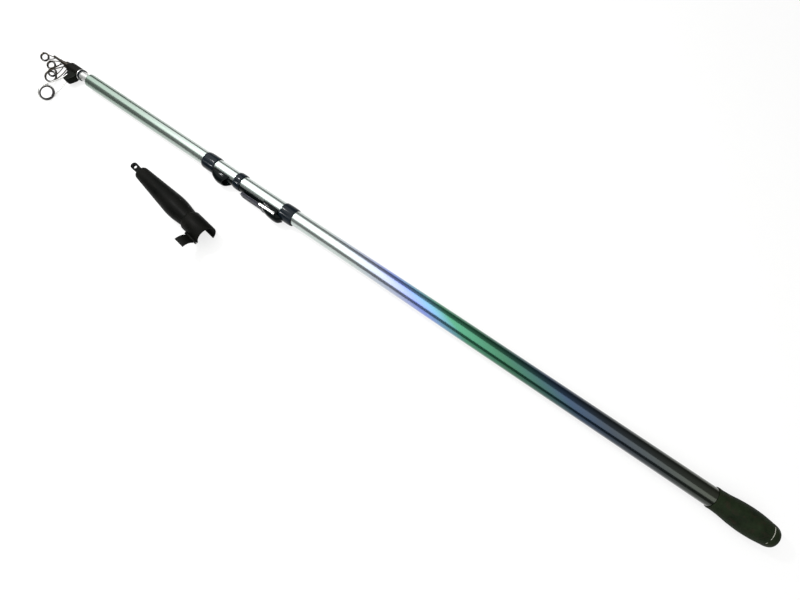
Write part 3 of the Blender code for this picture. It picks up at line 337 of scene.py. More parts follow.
def baked(made):
    """Works a piece's modifiers into its mesh."""
    bpy.context.view_layer.update()
    graph = bpy.context.evaluated_depsgraph_get()
    mesh = bpy.data.meshes.new_from_object(made.evaluated_get(graph))
    materials = [slot.material for slot in made.material_slots]
    made.modifiers.clear()
    made.data = mesh
    if not mesh.materials:
        for finish in materials:
            mesh.materials.append(finish)
    return made


def combine(made, operation, tools):
    for tool in tools:
        modifier = made.modifiers.new(operation, "BOOLEAN")
        modifier.operation = operation
        modifier.solver = "EXACT"
        modifier.object = tool
    baked(made)
    for tool in tools:
        bpy.data.objects.remove(tool)
    return made


def join(made, *tools):
    return combine(made, "UNION", tools)


def cut(made, *tools):
    return combine(made, "DIFFERENCE", tools)


def soften(made, width, steps=2, angle=35):
    """Breaks a piece's edges with a small round."""
    clean = bmesh.new()
    clean.from_mesh(made.data)
    bmesh.ops.remove_doubles(clean, verts=clean.verts, dist=2e-6)
    bmesh.ops.dissolve_degenerate(clean, edges=clean.edges, dist=1e-6)
    bmesh.ops.dissolve_limit(clean, angle_limit=radians(0.5), verts=clean.verts, edges=clean.edges)
    clean.to_mesh(made.data)
    clean.free()
    modifier = made.modifiers.new("soft edges", "BEVEL")
    modifier.width = width
    modifier.segments = steps
    modifier.limit_method = "ANGLE"
    modifier.angle_limit = radians(angle)
    modifier.use_clamp_overlap = True
    baked(made)
    crease(made.data, angle)
    return made


def rounded(before, point, after, radius, steps):
    """A soft curve in a corner's place. It starts at the radius from it, or less where a side is short."""
    to_before, to_after = before - point, after - point
    reach = min(radius, to_before.length * CORNER_SHARE, to_after.length * CORNER_SHARE)
    start = point + to_before.normalized() * reach
    end = point + to_after.normalized() * reach
    return [start * (1 - t) ** 2 + point * 2 * t * (1 - t) + end * t ** 2
            for t in [k / steps for k in range(steps + 1)]]


def eased(profile, radius, steps=4):
    """A closed profile with rounded corners. Where it runs nearly straight on, a point stays."""
    points = [Vector((x, r, 0.0)) for x, r in profile]
    result = []
    for i, point in enumerate(points):
        before, after = points[i - 1], points[(i + 1) % len(points)]
        straight = (before - point).angle(after - point) > NEARLY_STRAIGHT
        result += [point] if straight else rounded(before, point, after, radius, steps)
    return [(spot.x, spot.y) for spot in result]


def lathe(profile, sides=FINE, centre=(0.0, 0.0), closed=True):
    """Turns a profile of (x, radius) points about a line along X."""
    mesh = bmesh.new()
    rings = []
    for x, radius in profile:
        count = 1 if radius < 1e-9 else sides
        rings.append([mesh.verts.new((x, centre[0] - radius * cos(2 * pi * i / sides),
                                      centre[1] + radius * sin(2 * pi * i / sides))) for i in range(count)])
    pairs = list(zip(rings, rings[1:]))
    if closed:
        pairs.append((rings[-1], rings[0]))
    for first, second in pairs:
        for i in range(sides):
            corners = [first[i % len(first)], first[(i + 1) % len(first)],
                       second[(i + 1) % len(second)], second[i % len(second)]]
            unique = list(dict.fromkeys(corners))
            if len(unique) > 2:
                mesh.faces.new(unique)
    return mesh


def loft(sections, hoop=False):
    """A closed solid through rings of points, as many in each. In a hoop the last ring meets the first."""
    mesh = bmesh.new()
    rings = [[mesh.verts.new(point) for point in section] for section in sections]
    for first, second in zip(rings, rings[1:] + (rings[:1] if hoop else [])):
        for i in range(len(first)):
            following = (i + 1) % len(first)
            mesh.faces.new((first[i], first[following], second[following], second[i]))
    if not hoop:
        mesh.faces.new(rings[0])
        mesh.faces.new(rings[-1])
    return mesh


def rod(start, end, radius, sides=FINE, centre=(0.0, 0.0)):
    """A plain round bar along X."""
    return lathe([(start, 0.0), (start, radius), (end, radius), (end, 0.0)], sides, centre, closed=False)


def ring_profile(node, bore):
    """A plain ring round a bore, with the length and the outside of a solid."""
    low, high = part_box(node)
    return [(low.x, bore), (high.x, bore), (high.x, high.z), (low.x, high.z)]


def plain_ring(node, body, finish, slot, bore, edge, steps=5):
    """A winding, a trim ring or a washer, with rounded corners."""
    return dress(node, lathe(eased(ring_profile(node, bore), edge, steps), RING), finish, body, slot)


def curve_through(points, steps):
    """Points on a smooth curve through a line of points."""
    points = [Vector(point) for point in points]
    ends = [points[0] * 2 - points[1], *points, points[-1] * 2 - points[-2]]
    curve = []
    for a, b, c, d in zip(ends, ends[1:], ends[2:], ends[3:]):
        for i in range(steps):
            t = i / steps
            curve.append(0.5 * (2 * b + (c - a) * t + (2 * a - 5 * b + 4 * c - d) * t ** 2
                                + (3 * b - a - 3 * c + d) * t ** 3))
    return curve + [points[-1]]


def bent(points, radius, steps=6):
    """A line of points with its inner corners rounded."""
    points = [Vector(point) for point in points]
    line = [points[0]]
    for before, point, after in zip(points, points[1:], points[2:]):
        line += rounded(before, point, after, radius, steps)
    return line + [points[-1]]


def wire(points, radius, sides=SMALL):
    """A round wire along a line of points."""
    points = [Vector(point) for point in points]
    side = (points[1] - points[0]).orthogonal()
    sections = []
    for i, point in enumerate(points):
        along = (points[min(i + 1, len(points) - 1)] - points[max(i - 1, 0)]).normalized()
        side = (side - along * side.dot(along)).normalized()
        other = along.cross(side)
        sections.append([point + radius * (side * cos(2 * pi * k / sides) + other * sin(2 * pi * k / sides))
                         for k in range(sides)])
    return loft(sections)


def prism(outline, low, high, plane="XY"):
    """An outline raised between two levels: of Z for the plane XY, or of Y for the plane XZ."""
    if plane == "XY":
        return loft([[(a, b, level) for a, b in outline] for level in (low, high)])
    return loft([[(a, level, b) for a, b in outline] for level in (low, high)])


def block(low, high):
    """A box between two opposite corners."""
    corners = ((low[0], low[1]), (high[0], low[1]), (high[0], high[1]), (low[0], high[1]))
    return prism(corners, low[2], high[2])


def arc_points(centre, radius, start, end, count):
    """Points on an arc, from one angle to another."""
    angles = [start + (end - start) * i / (count - 1) for i in range(count)]
    return [(centre[0] + radius * cos(a), centre[1] + radius * sin(a)) for a in angles]


def cylinder_z(centre, radius, low, high):
    sides = SMALL * 2
    return prism(arc_points(centre, radius, 0.0, 2 * pi * (sides - 1) / sides, sides), low, high)


def smooth_curve(points, steps):
    """Points on a curve through the given (place, size) pairs, in straight order of place."""
    ends = [points[0], *points, points[-1]]
    curve = []
    for before, start, end, after in zip(ends, ends[1:], ends[2:], ends[3:]):
        span = end[0] - start[0]
        slope_in = (end[1] - before[1]) / (end[0] - before[0])
        slope_out = (after[1] - start[1]) / (after[0] - start[0])
        for i in range(steps):
            t = i / steps
            size = ((2 * t**3 - 3 * t**2 + 1) * start[1] + (t**3 - 2 * t**2 + t) * span * slope_in
                    + (3 * t**2 - 2 * t**3) * end[1] + (t**3 - t**2) * span * slope_out)
            curve.append((start[0] + span * t, size))
    return curve + [points[-1]]


def between(points, place):
    """The size at a place, on straight lines between (place, size) pairs."""
    for (start, first), (end, last) in zip(points, points[1:]):
        if place <= end:
            return first + (last - first) * max(0.0, (place - start) / (end - start))
    return points[-1][1]


def blank_radius(x):
    return between(BLANK_TAPER, x - MOUTH_X) / 2


def plate_radius(x):
    return blank_radius(x) + GAP + PLATE_THICKNESS


# Finishes


class Mask:
    """A value in a tree of nodes. Sums, differences and products of values are written as in Python."""

    def __init__(self, nodes, socket):
        self.nodes = nodes
        self.socket = socket

    def sum_with(self, operation, first, second):
        return self.nodes.node("ShaderNodeMath", {"operation": operation}, {0: first, 1: second})

    def __add__(self, other):
        return self.sum_with("ADD", self, other)

    __radd__ = __add__

    def __sub__(self, other):
        return self.sum_with("SUBTRACT", self, other)

    def __rsub__(self, other):
        return self.sum_with("SUBTRACT", other, self)

    def __mul__(self, other):
        return self.sum_with("MULTIPLY", self, other)

    __rmul__ = __mul__


class Nodes:
    """The nodes of a world or a material, each added and linked by one method."""

    def __init__(self, tree):
        self.tree = tree

    def node(self, kind, settings=None, values=None, output=0):
        """Any node: its settings first, then the values or links of its sockets."""
        made = self.tree.nodes.new(kind)
        for name, value in (settings or {}).items():
            if name == "stops":
                self.set_stops(made.color_ramp, value)
            else:
                setattr(made, name, value)
        for key, value in (values or {}).items():
            socket = made.inputs[key]
            if isinstance(value, Mask):
                self.tree.links.new(value.socket, socket)
            else:
                socket.default_value = value
        return Mask(self, made.outputs[output]) if made.outputs else None

    def set_stops(self, ramp, stops):
        while len(ramp.elements) > 1:
            ramp.elements.remove(ramp.elements[-1])
        for i, (place, colour) in enumerate(stops):
            element = ramp.elements[0] if i == 0 else ramp.elements.new(place)
            element.position = place
            element.color = (*colour, 1.0) if len(colour) == 3 else colour

    def spread(self, value, low, high, to_low=0.0, to_high=1.0):
        """A value brought from one range to another, and kept within it."""
        values = {"Value": value, "From Min": low, "From Max": high, "To Min": to_low, "To Max": to_high}
        return self.node("ShaderNodeMapRange", {"clamp": True}, values)

    def ramp(self, value, stops):
        return self.node("ShaderNodeValToRGB", {"stops": stops}, {0: value})

    def blend(self, factor, first, second, how="MIX"):
        settings = {"data_type": "RGBA", "blend_type": how}
        values = {0: factor}
        for key, colour in ((6, first), (7, second)):
            values[key] = colour if isinstance(colour, Mask) else (*colour, 1.0)
        return self.node("ShaderNodeMix", settings, values, output=2)


class Finish(Nodes):
    """A material's nodes. Values that are the same all over are set on the shader's own sockets."""

    def __init__(self, name, **sockets):
        self.material = bpy.data.materials.new(name)
        self.material.use_nodes = True
        super().__init__(self.material.node_tree)
        self.shader = self.tree.nodes["Principled BSDF"]
        for socket, value in sockets.items():
            self.shader.inputs[socket.replace("_", " ")].default_value = value

    def place(self):
        return self.node("ShaderNodeTexCoord", output="Object")

    def stretched(self, scale):
        return self.node("ShaderNodeMapping", {}, {"Vector": self.place(), "Scale": scale})

    def along(self, axis="X"):
        return self.node("ShaderNodeSeparateXYZ", {}, {0: self.place()}, output=axis)

    def noise(self, scale, detail=4.0, roughness=0.6, vector=None, seed=0.0):
        values = {"Vector": vector or self.place(), "Scale": scale, "W": seed, "Detail": detail,
                  "Roughness": roughness}
        return self.node("ShaderNodeTexNoise", {"noise_dimensions": "4D"}, values)

    def streaks(self, scale, detail, seed=0.0):
        """Noise with its own scale along each axis."""
        return self.noise(1.0, detail=detail, vector=self.stretched(scale), seed=seed)

    def bump(self, height, distance, strength=1.0, under=None):
        values = {"Height": height, "Distance": distance, "Strength": strength}
        if under:
            values["Normal"] = under
        return self.node("ShaderNodeBump", {}, values)

    def feed(self, **sockets):
        for name, value in sockets.items():
            self.tree.links.new(value.socket, self.shader.inputs[name.replace("_", " ")])
        return self.material


def lacquer():
    """Clear-coated metallic paint that turns from silver at the tip through blue and green to slate, with
    painted shade on its +Y side.
    """
    finish = Finish("lacquer", Metallic=0.88, IOR=1.5, Coat_Weight=0.5, Coat_Roughness=0.06)
    # The colour runs along the rod. The +Y side is pushed further along it, darker and greener: painted
    # shade and colour shift for how that side faces the light.
    share = finish.spread(finish.along() + finish.along("Y") * 3.0, -1.13, -0.06)
    drift = finish.noise(9.0, detail=2.0) * 0.03 - 0.015
    stops = ((0.0, (0.21, 0.28, 0.235)), (0.10, (0.25, 0.32, 0.275)), (0.18, (0.35, 0.41, 0.375)),
             (0.27, (0.48, 0.54, 0.51)), (0.46, (0.48, 0.54, 0.52)), (0.53, (0.37, 0.41, 0.56)),
             (0.570, (0.20, 0.27, 0.66)), (0.600, (0.12, 0.28, 0.42)), (0.635, (0.038, 0.20, 0.11)),
             (0.70, (0.018, 0.108, 0.055)), (0.745, (0.012, 0.066, 0.056)), (0.79, (0.010, 0.032, 0.070)),
             (0.85, (0.014, 0.023, 0.034)), (0.92, (0.021, 0.027, 0.023)), (1.0, (0.030, 0.035, 0.020)))
    colour = finish.ramp(share + drift, stops)
    flake = finish.noise(2600.0, detail=1.0, seed=3.0)
    glitter = finish.spread(flake, 0.35, 0.75, 0.0, 0.22)
    colour = finish.blend(glitter, colour, (0.85, 0.88, 0.86), "SOFT_LIGHT")
    streak = finish.streaks((14.0, 420.0, 420.0), 5.0, seed=5.0)
    rough = finish.spread(streak, 0.3, 0.7, 0.15, 0.24)
    peel = finish.noise(240.0, detail=2.0, seed=7.0)
    scuffs = finish.spread(finish.streaks((26.0, 160.0, 160.0), 6.0, seed=9.0), 0.66, 0.72)
    normal = finish.bump(peel * 0.5 + scuffs * 0.5, 0.00001)
    return finish.feed(Base_Color=colour, Roughness=rough + scuffs * 0.08, Normal=normal)


def silver():
    """The inner sections' silver lacquer, worn a little along its length by sliding."""
    finish = Finish("silver", Metallic=0.65, Coat_Weight=0.5, Coat_Roughness=0.08)
    tone = finish.noise(30.0, detail=3.0)
    colour = finish.blend(tone, (0.50, 0.51, 0.50), (0.60, 0.61, 0.60))
    rubs = finish.streaks((6.0, 520.0, 520.0), 7.0, seed=2.0)
    line = finish.spread(rubs, 0.58, 0.70)
    colour = finish.blend(line * 0.35, colour, (0.30, 0.31, 0.31))
    return finish.feed(Base_Color=colour, Roughness=finish.spread(rubs, 0.3, 0.7, 0.18, 0.32),
                       Normal=finish.bump(line, 0.00001))


def black(name="black", base=(0.003, 0.006, 0.009), light=(0.009, 0.014, 0.019), shine=(0.12, 0.24),
          grain=0.00001, specular=0.12):
    """Moulded black plastic, with a fine grain, soft cloudiness and a few rub marks."""
    finish = Finish(name, IOR=1.5, Specular_IOR_Level=specular)
    cloud = finish.noise(55.0, detail=5.0)
    colour = finish.blend(finish.spread(cloud, 0.3, 0.75), base, light)
    streak_mask = finish.spread(finish.streaks((60.0, 300.0, 300.0), 6.0, seed=4.0), 0.62, 0.72)
    fine = finish.noise(3200.0, detail=2.0, seed=6.0)
    rough = finish.spread(cloud, 0.3, 0.7, *shine) + streak_mask * 0.10
    normal = finish.bump(fine * 0.8 + streak_mask * 0.4, grain)
    return finish.feed(Base_Color=colour, Roughness=rough, Normal=normal)


def plug_plastic():
    """The plug's matte black plastic, with a painted highlight: a broken pale line where its edge meets the
    cap.
    """
    finish = Finish("plug_plastic", IOR=1.47, Specular_IOR_Level=0.08)
    cloud = finish.noise(120.0, detail=5.0)
    colour = finish.blend(cloud, (0.004, 0.008, 0.003), (0.017, 0.024, 0.010))
    # Painted highlight: a broken pale line round the plug where its edge meets the cap, standing in for
    # light caught by the seam.
    rim = finish.spread(finish.along(), -0.0098, -0.0103)
    painted_highlight = rim * finish.spread(finish.noise(90.0, detail=1.0, seed=5.0), 0.50, 0.54)
    colour = finish.blend(painted_highlight, colour, (0.60, 0.60, 0.52))
    fine = finish.noise(1800.0, detail=2.0, seed=6.0)
    return finish.feed(Base_Color=colour, Roughness=finish.spread(cloud, 0.3, 0.7, 0.42, 0.6),
                       Normal=finish.bump(fine, 0.00003))


def rubber():
    """The cap's matte rubber: mottled, with a pebbled skin."""
    finish = Finish("rubber", IOR=1.45, Specular_IOR_Level=0.08)
    large = finish.noise(60.0, detail=6.0, roughness=0.65)
    small = finish.noise(420.0, detail=4.0, roughness=0.7, seed=2.0)
    colour = finish.blend(finish.spread(large, 0.34, 0.68), (0.003, 0.008, 0.003), (0.014, 0.024, 0.010))
    colour = finish.blend(finish.spread(small, 0.35, 0.7, 0.0, 0.5), colour, (0.012, 0.014, 0.006))
    rust = finish.spread(finish.noise(130.0, detail=3.0, seed=8.0), 0.52, 0.66, 0.0, 0.5)
    colour = finish.blend(rust, colour, (0.021, 0.013, 0.009))
    pebble = finish.node("ShaderNodeTexVoronoi", {"feature": "SMOOTH_F1"},
                         {"Vector": finish.place(), "Scale": 900.0})
    rough = finish.spread(large + small, 0.7, 1.3, 0.52, 0.72)
    under = finish.bump(pebble, 0.00006, 0.6)
    return finish.feed(Base_Color=colour, Roughness=rough, Normal=finish.bump(small, 0.00008, 0.5, under))


def steel(name="steel", tint=(0.72, 0.72, 0.70)):
    """Polished steel wire and sheet, with faint draw marks."""
    finish = Finish(name, Metallic=1.0)
    draw = finish.streaks((500.0, 500.0, 90.0), 6.0)
    dull = finish.noise(120.0, detail=4.0, seed=3.0)
    dark = tuple(0.72 * part for part in tint)
    colour = finish.blend(finish.spread(dull, 0.45, 0.8, 0.0, 0.6), tint, dark)
    return finish.feed(Base_Color=colour, Roughness=finish.spread(draw + dull, 0.6, 1.4, 0.12, 0.30),
                       Normal=finish.bump(draw, 0.000008))


def grey_grip():
    """Satin grey plastic with a lavender cast, and painted highlights: paler, shinier streaks along the
    ribs.
    """
    finish = Finish("grey_grip", IOR=1.48, Specular_IOR_Level=0.14)
    cloud = finish.noise(70.0, detail=4.0)
    colour = finish.blend(cloud, (0.010, 0.011, 0.017), (0.024, 0.025, 0.036))
    streak_mask = finish.streaks((35.0, 300.0, 700.0), 5.0, seed=2.0)
    # Painted highlights: the streaks are paler and shinier, standing in for light along the ribs.
    colour = finish.blend(finish.spread(streak_mask, 0.5, 0.75, 0.0, 0.5), colour, (0.10, 0.10, 0.13))
    fine = finish.noise(2400.0, detail=2.0, seed=5.0)
    return finish.feed(Base_Color=colour, Roughness=finish.spread(streak_mask, 0.3, 0.7, 0.42, 0.30),
                       Normal=finish.bump(fine, 0.00002))


def ceramic():
    """The rings' hard dark insert: polished, with a faint bloom."""
    finish = Finish("ceramic", IOR=1.6, Specular_IOR_Level=0.35)
    bloom = finish.noise(260.0, detail=4.0)
    colour = finish.blend(finish.spread(bloom, 0.3, 0.8), (0.006, 0.005, 0.005), (0.020, 0.016, 0.016))
    return finish.feed(Base_Color=colour, Roughness=finish.spread(bloom, 0.3, 0.7, 0.10, 0.2),
                       Normal=finish.bump(bloom, 0.000006))


def thread_wrap():
    """Close turns of black thread under a clear coat."""
    finish = Finish("thread_wrap", IOR=1.5, Specular_IOR_Level=0.04, Coat_Weight=0.02, Coat_Roughness=0.12)
    turns = finish.node("ShaderNodeTexWave", {"wave_type": "BANDS", "bands_direction": "X"},
                        {"Vector": finish.place(), "Scale": 640.0, "Distortion": 0.25, "Detail": 1.0})
    cloud = finish.noise(90.0, detail=4.0)
    colour = finish.blend(cloud, (0.002, 0.002, 0.0015), (0.006, 0.006, 0.005))
    colour = finish.blend(turns * 0.4, colour, (0.007, 0.0065, 0.0055))
    return finish.feed(Base_Color=colour, Roughness=finish.spread(cloud, 0.3, 0.7, 0.30, 0.5),
                       Normal=finish.bump(turns, 0.00004, 0.7))


def cover_plastic():
    """The tip cover's soft black plastic: satin, with a fine moulded grain and faint dust."""
    finish = Finish("cover_plastic", IOR=1.47, Specular_IOR_Level=0.035)
    cloud = finish.noise(28.0, detail=6.0, roughness=0.62)
    colour = finish.blend(finish.spread(cloud, 0.32, 0.7), (0.0015, 0.002, 0.0018), (0.006, 0.006, 0.005))
    dust = finish.spread(finish.streaks((70.0, 260.0, 260.0), 7.0, seed=3.0), 0.55, 0.78)
    colour = finish.blend(dust * 0.4, colour, (0.017, 0.014, 0.012))
    grain = finish.noise(1500.0, detail=3.0, seed=5.0)
    sag = finish.noise(45.0, detail=2.0, seed=8.0)
    under = finish.bump(sag, 0.0005, 0.35)
    rough = finish.spread(cloud, 0.3, 0.7, 0.34, 0.50) + dust * 0.08
    normal = finish.bump(grain, 0.00004, 0.6, under)
    return finish.feed(Base_Color=colour, Roughness=rough, Normal=normal)


def brass():
    finish = Finish("brass", Metallic=1.0)
    tarnish = finish.noise(150.0, detail=5.0)
    colour = finish.blend(finish.spread(tarnish, 0.4, 0.75), (0.72, 0.52, 0.24), (0.38, 0.26, 0.12))
    return finish.feed(Base_Color=colour, Roughness=finish.spread(tarnish, 0.3, 0.7, 0.2, 0.42),
                       Normal=finish.bump(tarnish, 0.00001))


LACQUER, SILVER, BLACK, RUBBER = lacquer(), silver(), black(), rubber()
STEEL, GREY, CERAMIC, WRAP = steel(), grey_grip(), ceramic(), thread_wrap()
COVER, BRASS = cover_plastic(), brass()
MATTE = black("matte_black", (0.002, 0.003, 0.002), (0.005, 0.006, 0.004), (0.30, 0.46), 0.00002, 0.04)
PLUG = plug_plastic()
SMOKED = steel("smoked_steel", (0.060, 0.052, 0.042))
GLOSS = black("gloss_black", (0.002, 0.003, 0.003), (0.004, 0.006, 0.006), (0.08, 0.16), 0.000006, 0.05)


# The blanks, the cap and the plug


def butt_blank():
    """The outer tube. Stations close behind its lip keep the lip from tilting the light further on."""
    stations = [MOUTH_X + distance for distance, _ in BLANK_TAPER if MOUTH_X + distance < BLANK_END_X]
    stations.append(BLANK_END_X)
    outside = [(x, blank_radius(x)) for x in stations]
    inside = [(x, radius - BLANK_WALL) for x, radius in outside]
    lip, mouth_r = BLANK_LIP, outside[0][1]
    outside[0:1] = [(MOUTH_X, mouth_r - lip), (MOUTH_X + BLANK_LIP_ROLL, mouth_r - BLANK_LIP_ROLL),
                    (MOUTH_X + lip, mouth_r), (MOUTH_X + 2 * lip, blank_radius(MOUTH_X + 2 * lip)),
                    (MOUTH_X + 4 * lip, blank_radius(MOUTH_X + 4 * lip))]
    dress("butt_blank", lathe(outside + inside[::-1]), LACQUER, "butt_section", "lacquer")


def inner_blank(body, tip_r, wall):
    """A silver tube inside the butt blank, with a small lip at its end."""
    node = body + "_blank"
    low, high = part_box(node)
    base_r = (high.z - low.z) / 2
    slope = (base_r - tip_r) / (high.x - low.x)
    taper = [(low.x + step, tip_r + slope * step) for step in INNER_LIP_STEPS]
    profile = [(high.x, base_r), *taper, (low.x, tip_r - INNER_LIP), (low.x, tip_r - wall),
               (high.x, base_r - wall)]
    dress(node, lathe(profile, RING), SILVER, body, "silver")


def tip_blank():
    low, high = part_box("tip_blank")
    base_r = (high.z - low.z) / 2
    profile = [(high.x, 0.0), (high.x, base_r), (low.x + TIP_CHAMFER, TIP_END_RADIUS),
               (low.x, TIP_END_RADIUS - TIP_CHAMFER), (low.x, 0.0)]
    dress("tip_blank", lathe(profile, MEDIUM, closed=False), SILVER, "tip_section", "silver")


def blanks():
    butt_blank()
    inner_blank("section_2", SECTION_2_TIP_RADIUS, SECTION_2_WALL)
    inner_blank("section_3", SECTION_3_TIP_RADIUS, SECTION_3_WALL)
    tip_blank()


def butt_cap():
    """The rubber cap, with a rolled front rim."""
    low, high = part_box("butt_cap")
    length = high.x - low.x
    outline = [(low.x + length * share, od / 2) for share, od in smooth_curve(CAP_OUTLINE, 10)]
    front_r, back_r = outline[0][1], outline[-1][1]
    bore = blank_radius(high.x) + GAP
    profile = [(low.x, bore), (low.x, front_r - CAP_FRONT_ROLL), (low.x + CAP_EDGE, front_r),
               *outline[1:-1], (high.x - CAP_EDGE, back_r), (high.x, back_r - CAP_EDGE), (high.x, bore)]
    dress("butt_cap", lathe(profile), RUBBER, "butt_section", "rubber")


def butt_plug():
    """The screw plug: a domed head, and a shank with the ridges of its thread."""
    low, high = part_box("butt_plug")
    head_r, face_r, seat_x = high.z, PLUG_FACE_OD / 2, high_end("butt_cap") + GAP
    head = high.x - seat_x
    dome = [(-head * (1 - sin(a)), face_r + (head_r - face_r) * cos(a))
            for a in [radians(3.75 * i) for i in range(24, -1, -1)]]
    crest, root = PLUG_SHANK_RADIUS, PLUG_SHANK_RADIUS - THREAD_DEPTH
    first, end = seat_x - THREAD_FROM_HEAD, low.x + THREAD_FROM_END
    threads = []
    for k in range(int((first - end) / THREAD_PITCH)):
        x = first - THREAD_PITCH * k
        threads += [(x - THREAD_PITCH * share, crest) for share in THREAD_CREST]
        threads += [(x - THREAD_PITCH * share, root) for share in THREAD_ROOT]
    profile = [(0.0, 0.0), *dome, (seat_x, head_r - PLUG_EDGE), (seat_x, crest), *threads, (end, crest),
               (low.x, crest - PLUG_END_CHAMFER), (low.x, 0.0)]
    dress("butt_plug", lathe(profile, closed=False), PLUG, "plug", "black")


def butt_end():
    """The cap and the plug, the plug's washer and pad, and the bush that the plug screws into."""
    butt_cap()
    butt_plug()
    bore = PLUG_SHANK_RADIUS + GAP
    plain_ring("plug_gasket", "gasket", RUBBER, "rubber", bore, GASKET_EDGE, 4)
    low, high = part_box("plug_cushion")
    edge = CUSHION_EDGE
    profile = [(high.x, 0.0), (high.x, high.z - edge), (high.x - edge, high.z), (low.x + edge, high.z),
               (low.x, high.z - edge), (low.x, 0.0)]
    dress("plug_cushion", lathe(profile, MEDIUM, closed=False), RUBBER, "plug", "rubber")
    plain_ring("plug_socket", "butt_section", BRASS, "brass", bore, SOCKET_EDGE, 4)


# The reel seat


def band_bore(x, angle):
    """A band's bore. It is wider over the plate, and comes in softly beyond the plate's edges."""
    start, run = BAND_SHOULDER
    over_plate = 1.0 - min(1.0, max(0.0, (abs(angle) - PLATE_HALF_ANGLE - start) / run))
    over_plate = over_plate * over_plate * (3 - 2 * over_plate)
    return blank_radius(x) + GAP + (PLATE_THICKNESS + GAP) * over_plate


def seat_band(node):
    """A glossy moulded sleeve with rolled edges and a slight swell."""
    low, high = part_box(node)
    start, length = low.x, high.x - low.x
    angles = [2 * pi * i / FINE for i in range(FINE)]
    turned = [a if a <= pi else a - 2 * pi for a in angles]
    stations = []
    for share in BAND_STATIONS:
        roll = (2 * abs(share - 0.5)) ** BAND_ROLL
        wall = BAND_WALL * (1.0 - roll) + BAND_SWELL * sin(pi * share)
        stations.append((start + length * share, max(BAND_EDGE, wall)))
    stations += [(start + length, 0.0), (start, 0.0)]
    sections = []
    for x, wall in stations:
        radii = [band_bore(x, a) + wall for a in turned]
        sections.append([(x, -r * cos(a), r * sin(a)) for r, a in zip(radii, turned)])
    dress(node, loft(sections, hoop=True), BLACK, "butt_section", "black", smooth=50)


def seat_plate():
    """The long curved plate under the bands. Its crown has two flat lands that a reel foot rests on."""
    low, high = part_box("seat_plate")
    narrow = PLATE_HALF_ANGLE * PLATE_END_SHARE
    ends = [(t, narrow + (PLATE_HALF_ANGLE - narrow) * sin(t * pi / 2)) for t in [k / 8 for k in range(9)]]
    stations = [(low.x + PLATE_END_TAPER * t, angle, None) for t, angle in ends]
    for land_start, land_end in PLATE_LANDS:
        level = plate_radius(MOUTH_X + land_start) - PLATE_LAND
        first, last = MOUTH_X + land_start, MOUTH_X + land_end
        stations += [(first - LAND_RAMP, PLATE_HALF_ANGLE, None), (first, PLATE_HALF_ANGLE, level),
                     (last, PLATE_HALF_ANGLE, level), (last + LAND_RAMP, PLATE_HALF_ANGLE, None)]
    stations += [(high.x - PLATE_END_TAPER * t, angle, None) for t, angle in ends[::-1]]
    sections = []
    for x, half_angle, level in stations:
        outer, inner = plate_radius(x), blank_radius(x) + GAP
        edge = asin(sqrt(1.0 - ((level or outer - PLATE_LAND) / outer) ** 2))
        side = [-half_angle + (half_angle - edge) * i / 8 for i in range(9)]
        angles = [*side, 0.0, *[-a for a in side[::-1]]]
        section = []
        for a in angles:
            near_edge = max(0.0, 1.0 - (half_angle - abs(a)) * outer / PLATE_EDGE_RUN)
            radius = outer - PLATE_EDGE_DROP * PLATE_THICKNESS * near_edge
            section.append((x, -min(radius * cos(a), level or outer), radius * sin(a)))
        sections.append(section + [(x, -inner * cos(a), inner * sin(a)) for a in angles[::-1]])
    dress("seat_plate", loft(sections), GLOSS, "butt_section", "black", smooth=35)


def arch(x, half_width, top, base, shear=0.0):
    """One section of a hood: an arch squarer than a half circle. Shear moves its crown along the rod."""
    steps = 36
    section = []
    for i in range(steps + 1):
        a = pi * i / steps
        across = half_width * (abs(cos(a)) ** ARCH_SIDE) * (1 if cos(a) >= 0 else -1)
        height = sin(a) ** ARCH_CROWN if 0 < i < steps else 0.0
        section.append((x + shear * height, -(base + (top - base) * height), across))
    return section


def hood_widths(butt_end_x):
    """Half the width of a hood's pocket and of its outside, and the radius of its roof over the plate."""
    inner_half = plate_radius(butt_end_x) * sin(PLATE_HALF_ANGLE) + SEAT_CLEARANCE
    return inner_half, inner_half + HOOD_WALL, plate_radius(butt_end_x) + SEAT_CLEARANCE + HOOD_WALL


def seat_clearances(low_x, high_x):
    """What a hood leaves free for the plate and for the blank under it."""
    ends = (low_x - HOOD_CUT_RUN, high_x + HOOD_CUT_RUN)
    passage_r = plate_radius(high_x) + SEAT_CLEARANCE
    angles = [PLATE_HALF_ANGLE * i / 16 for i in range(-16, 17)]
    arc = [(-passage_r * cos(a), passage_r * sin(a)) for a in angles]
    passage = loft([[(x, y, z) for y, z in [(0.0, arc[0][1]), *arc, (0.0, arc[-1][1])]] for x in ends])
    saddle = rod(*ends, blank_radius(high_x) + 2 * GAP)
    return piece("passage", passage, None), piece("saddle", saddle, None)


def hood_swell(share):
    """The fixed hood's height along it: steep at the closed end, fullest before the mouth."""
    droop = HOOD_DROOP * max(0.0, share - HOOD_DROOP_START) / (1.0 - HOOD_DROOP_START)
    return sin(min(1.0, share / HOOD_FULL_AT) * pi / 2) ** HOOD_STEEPNESS * (1.0 - droop)


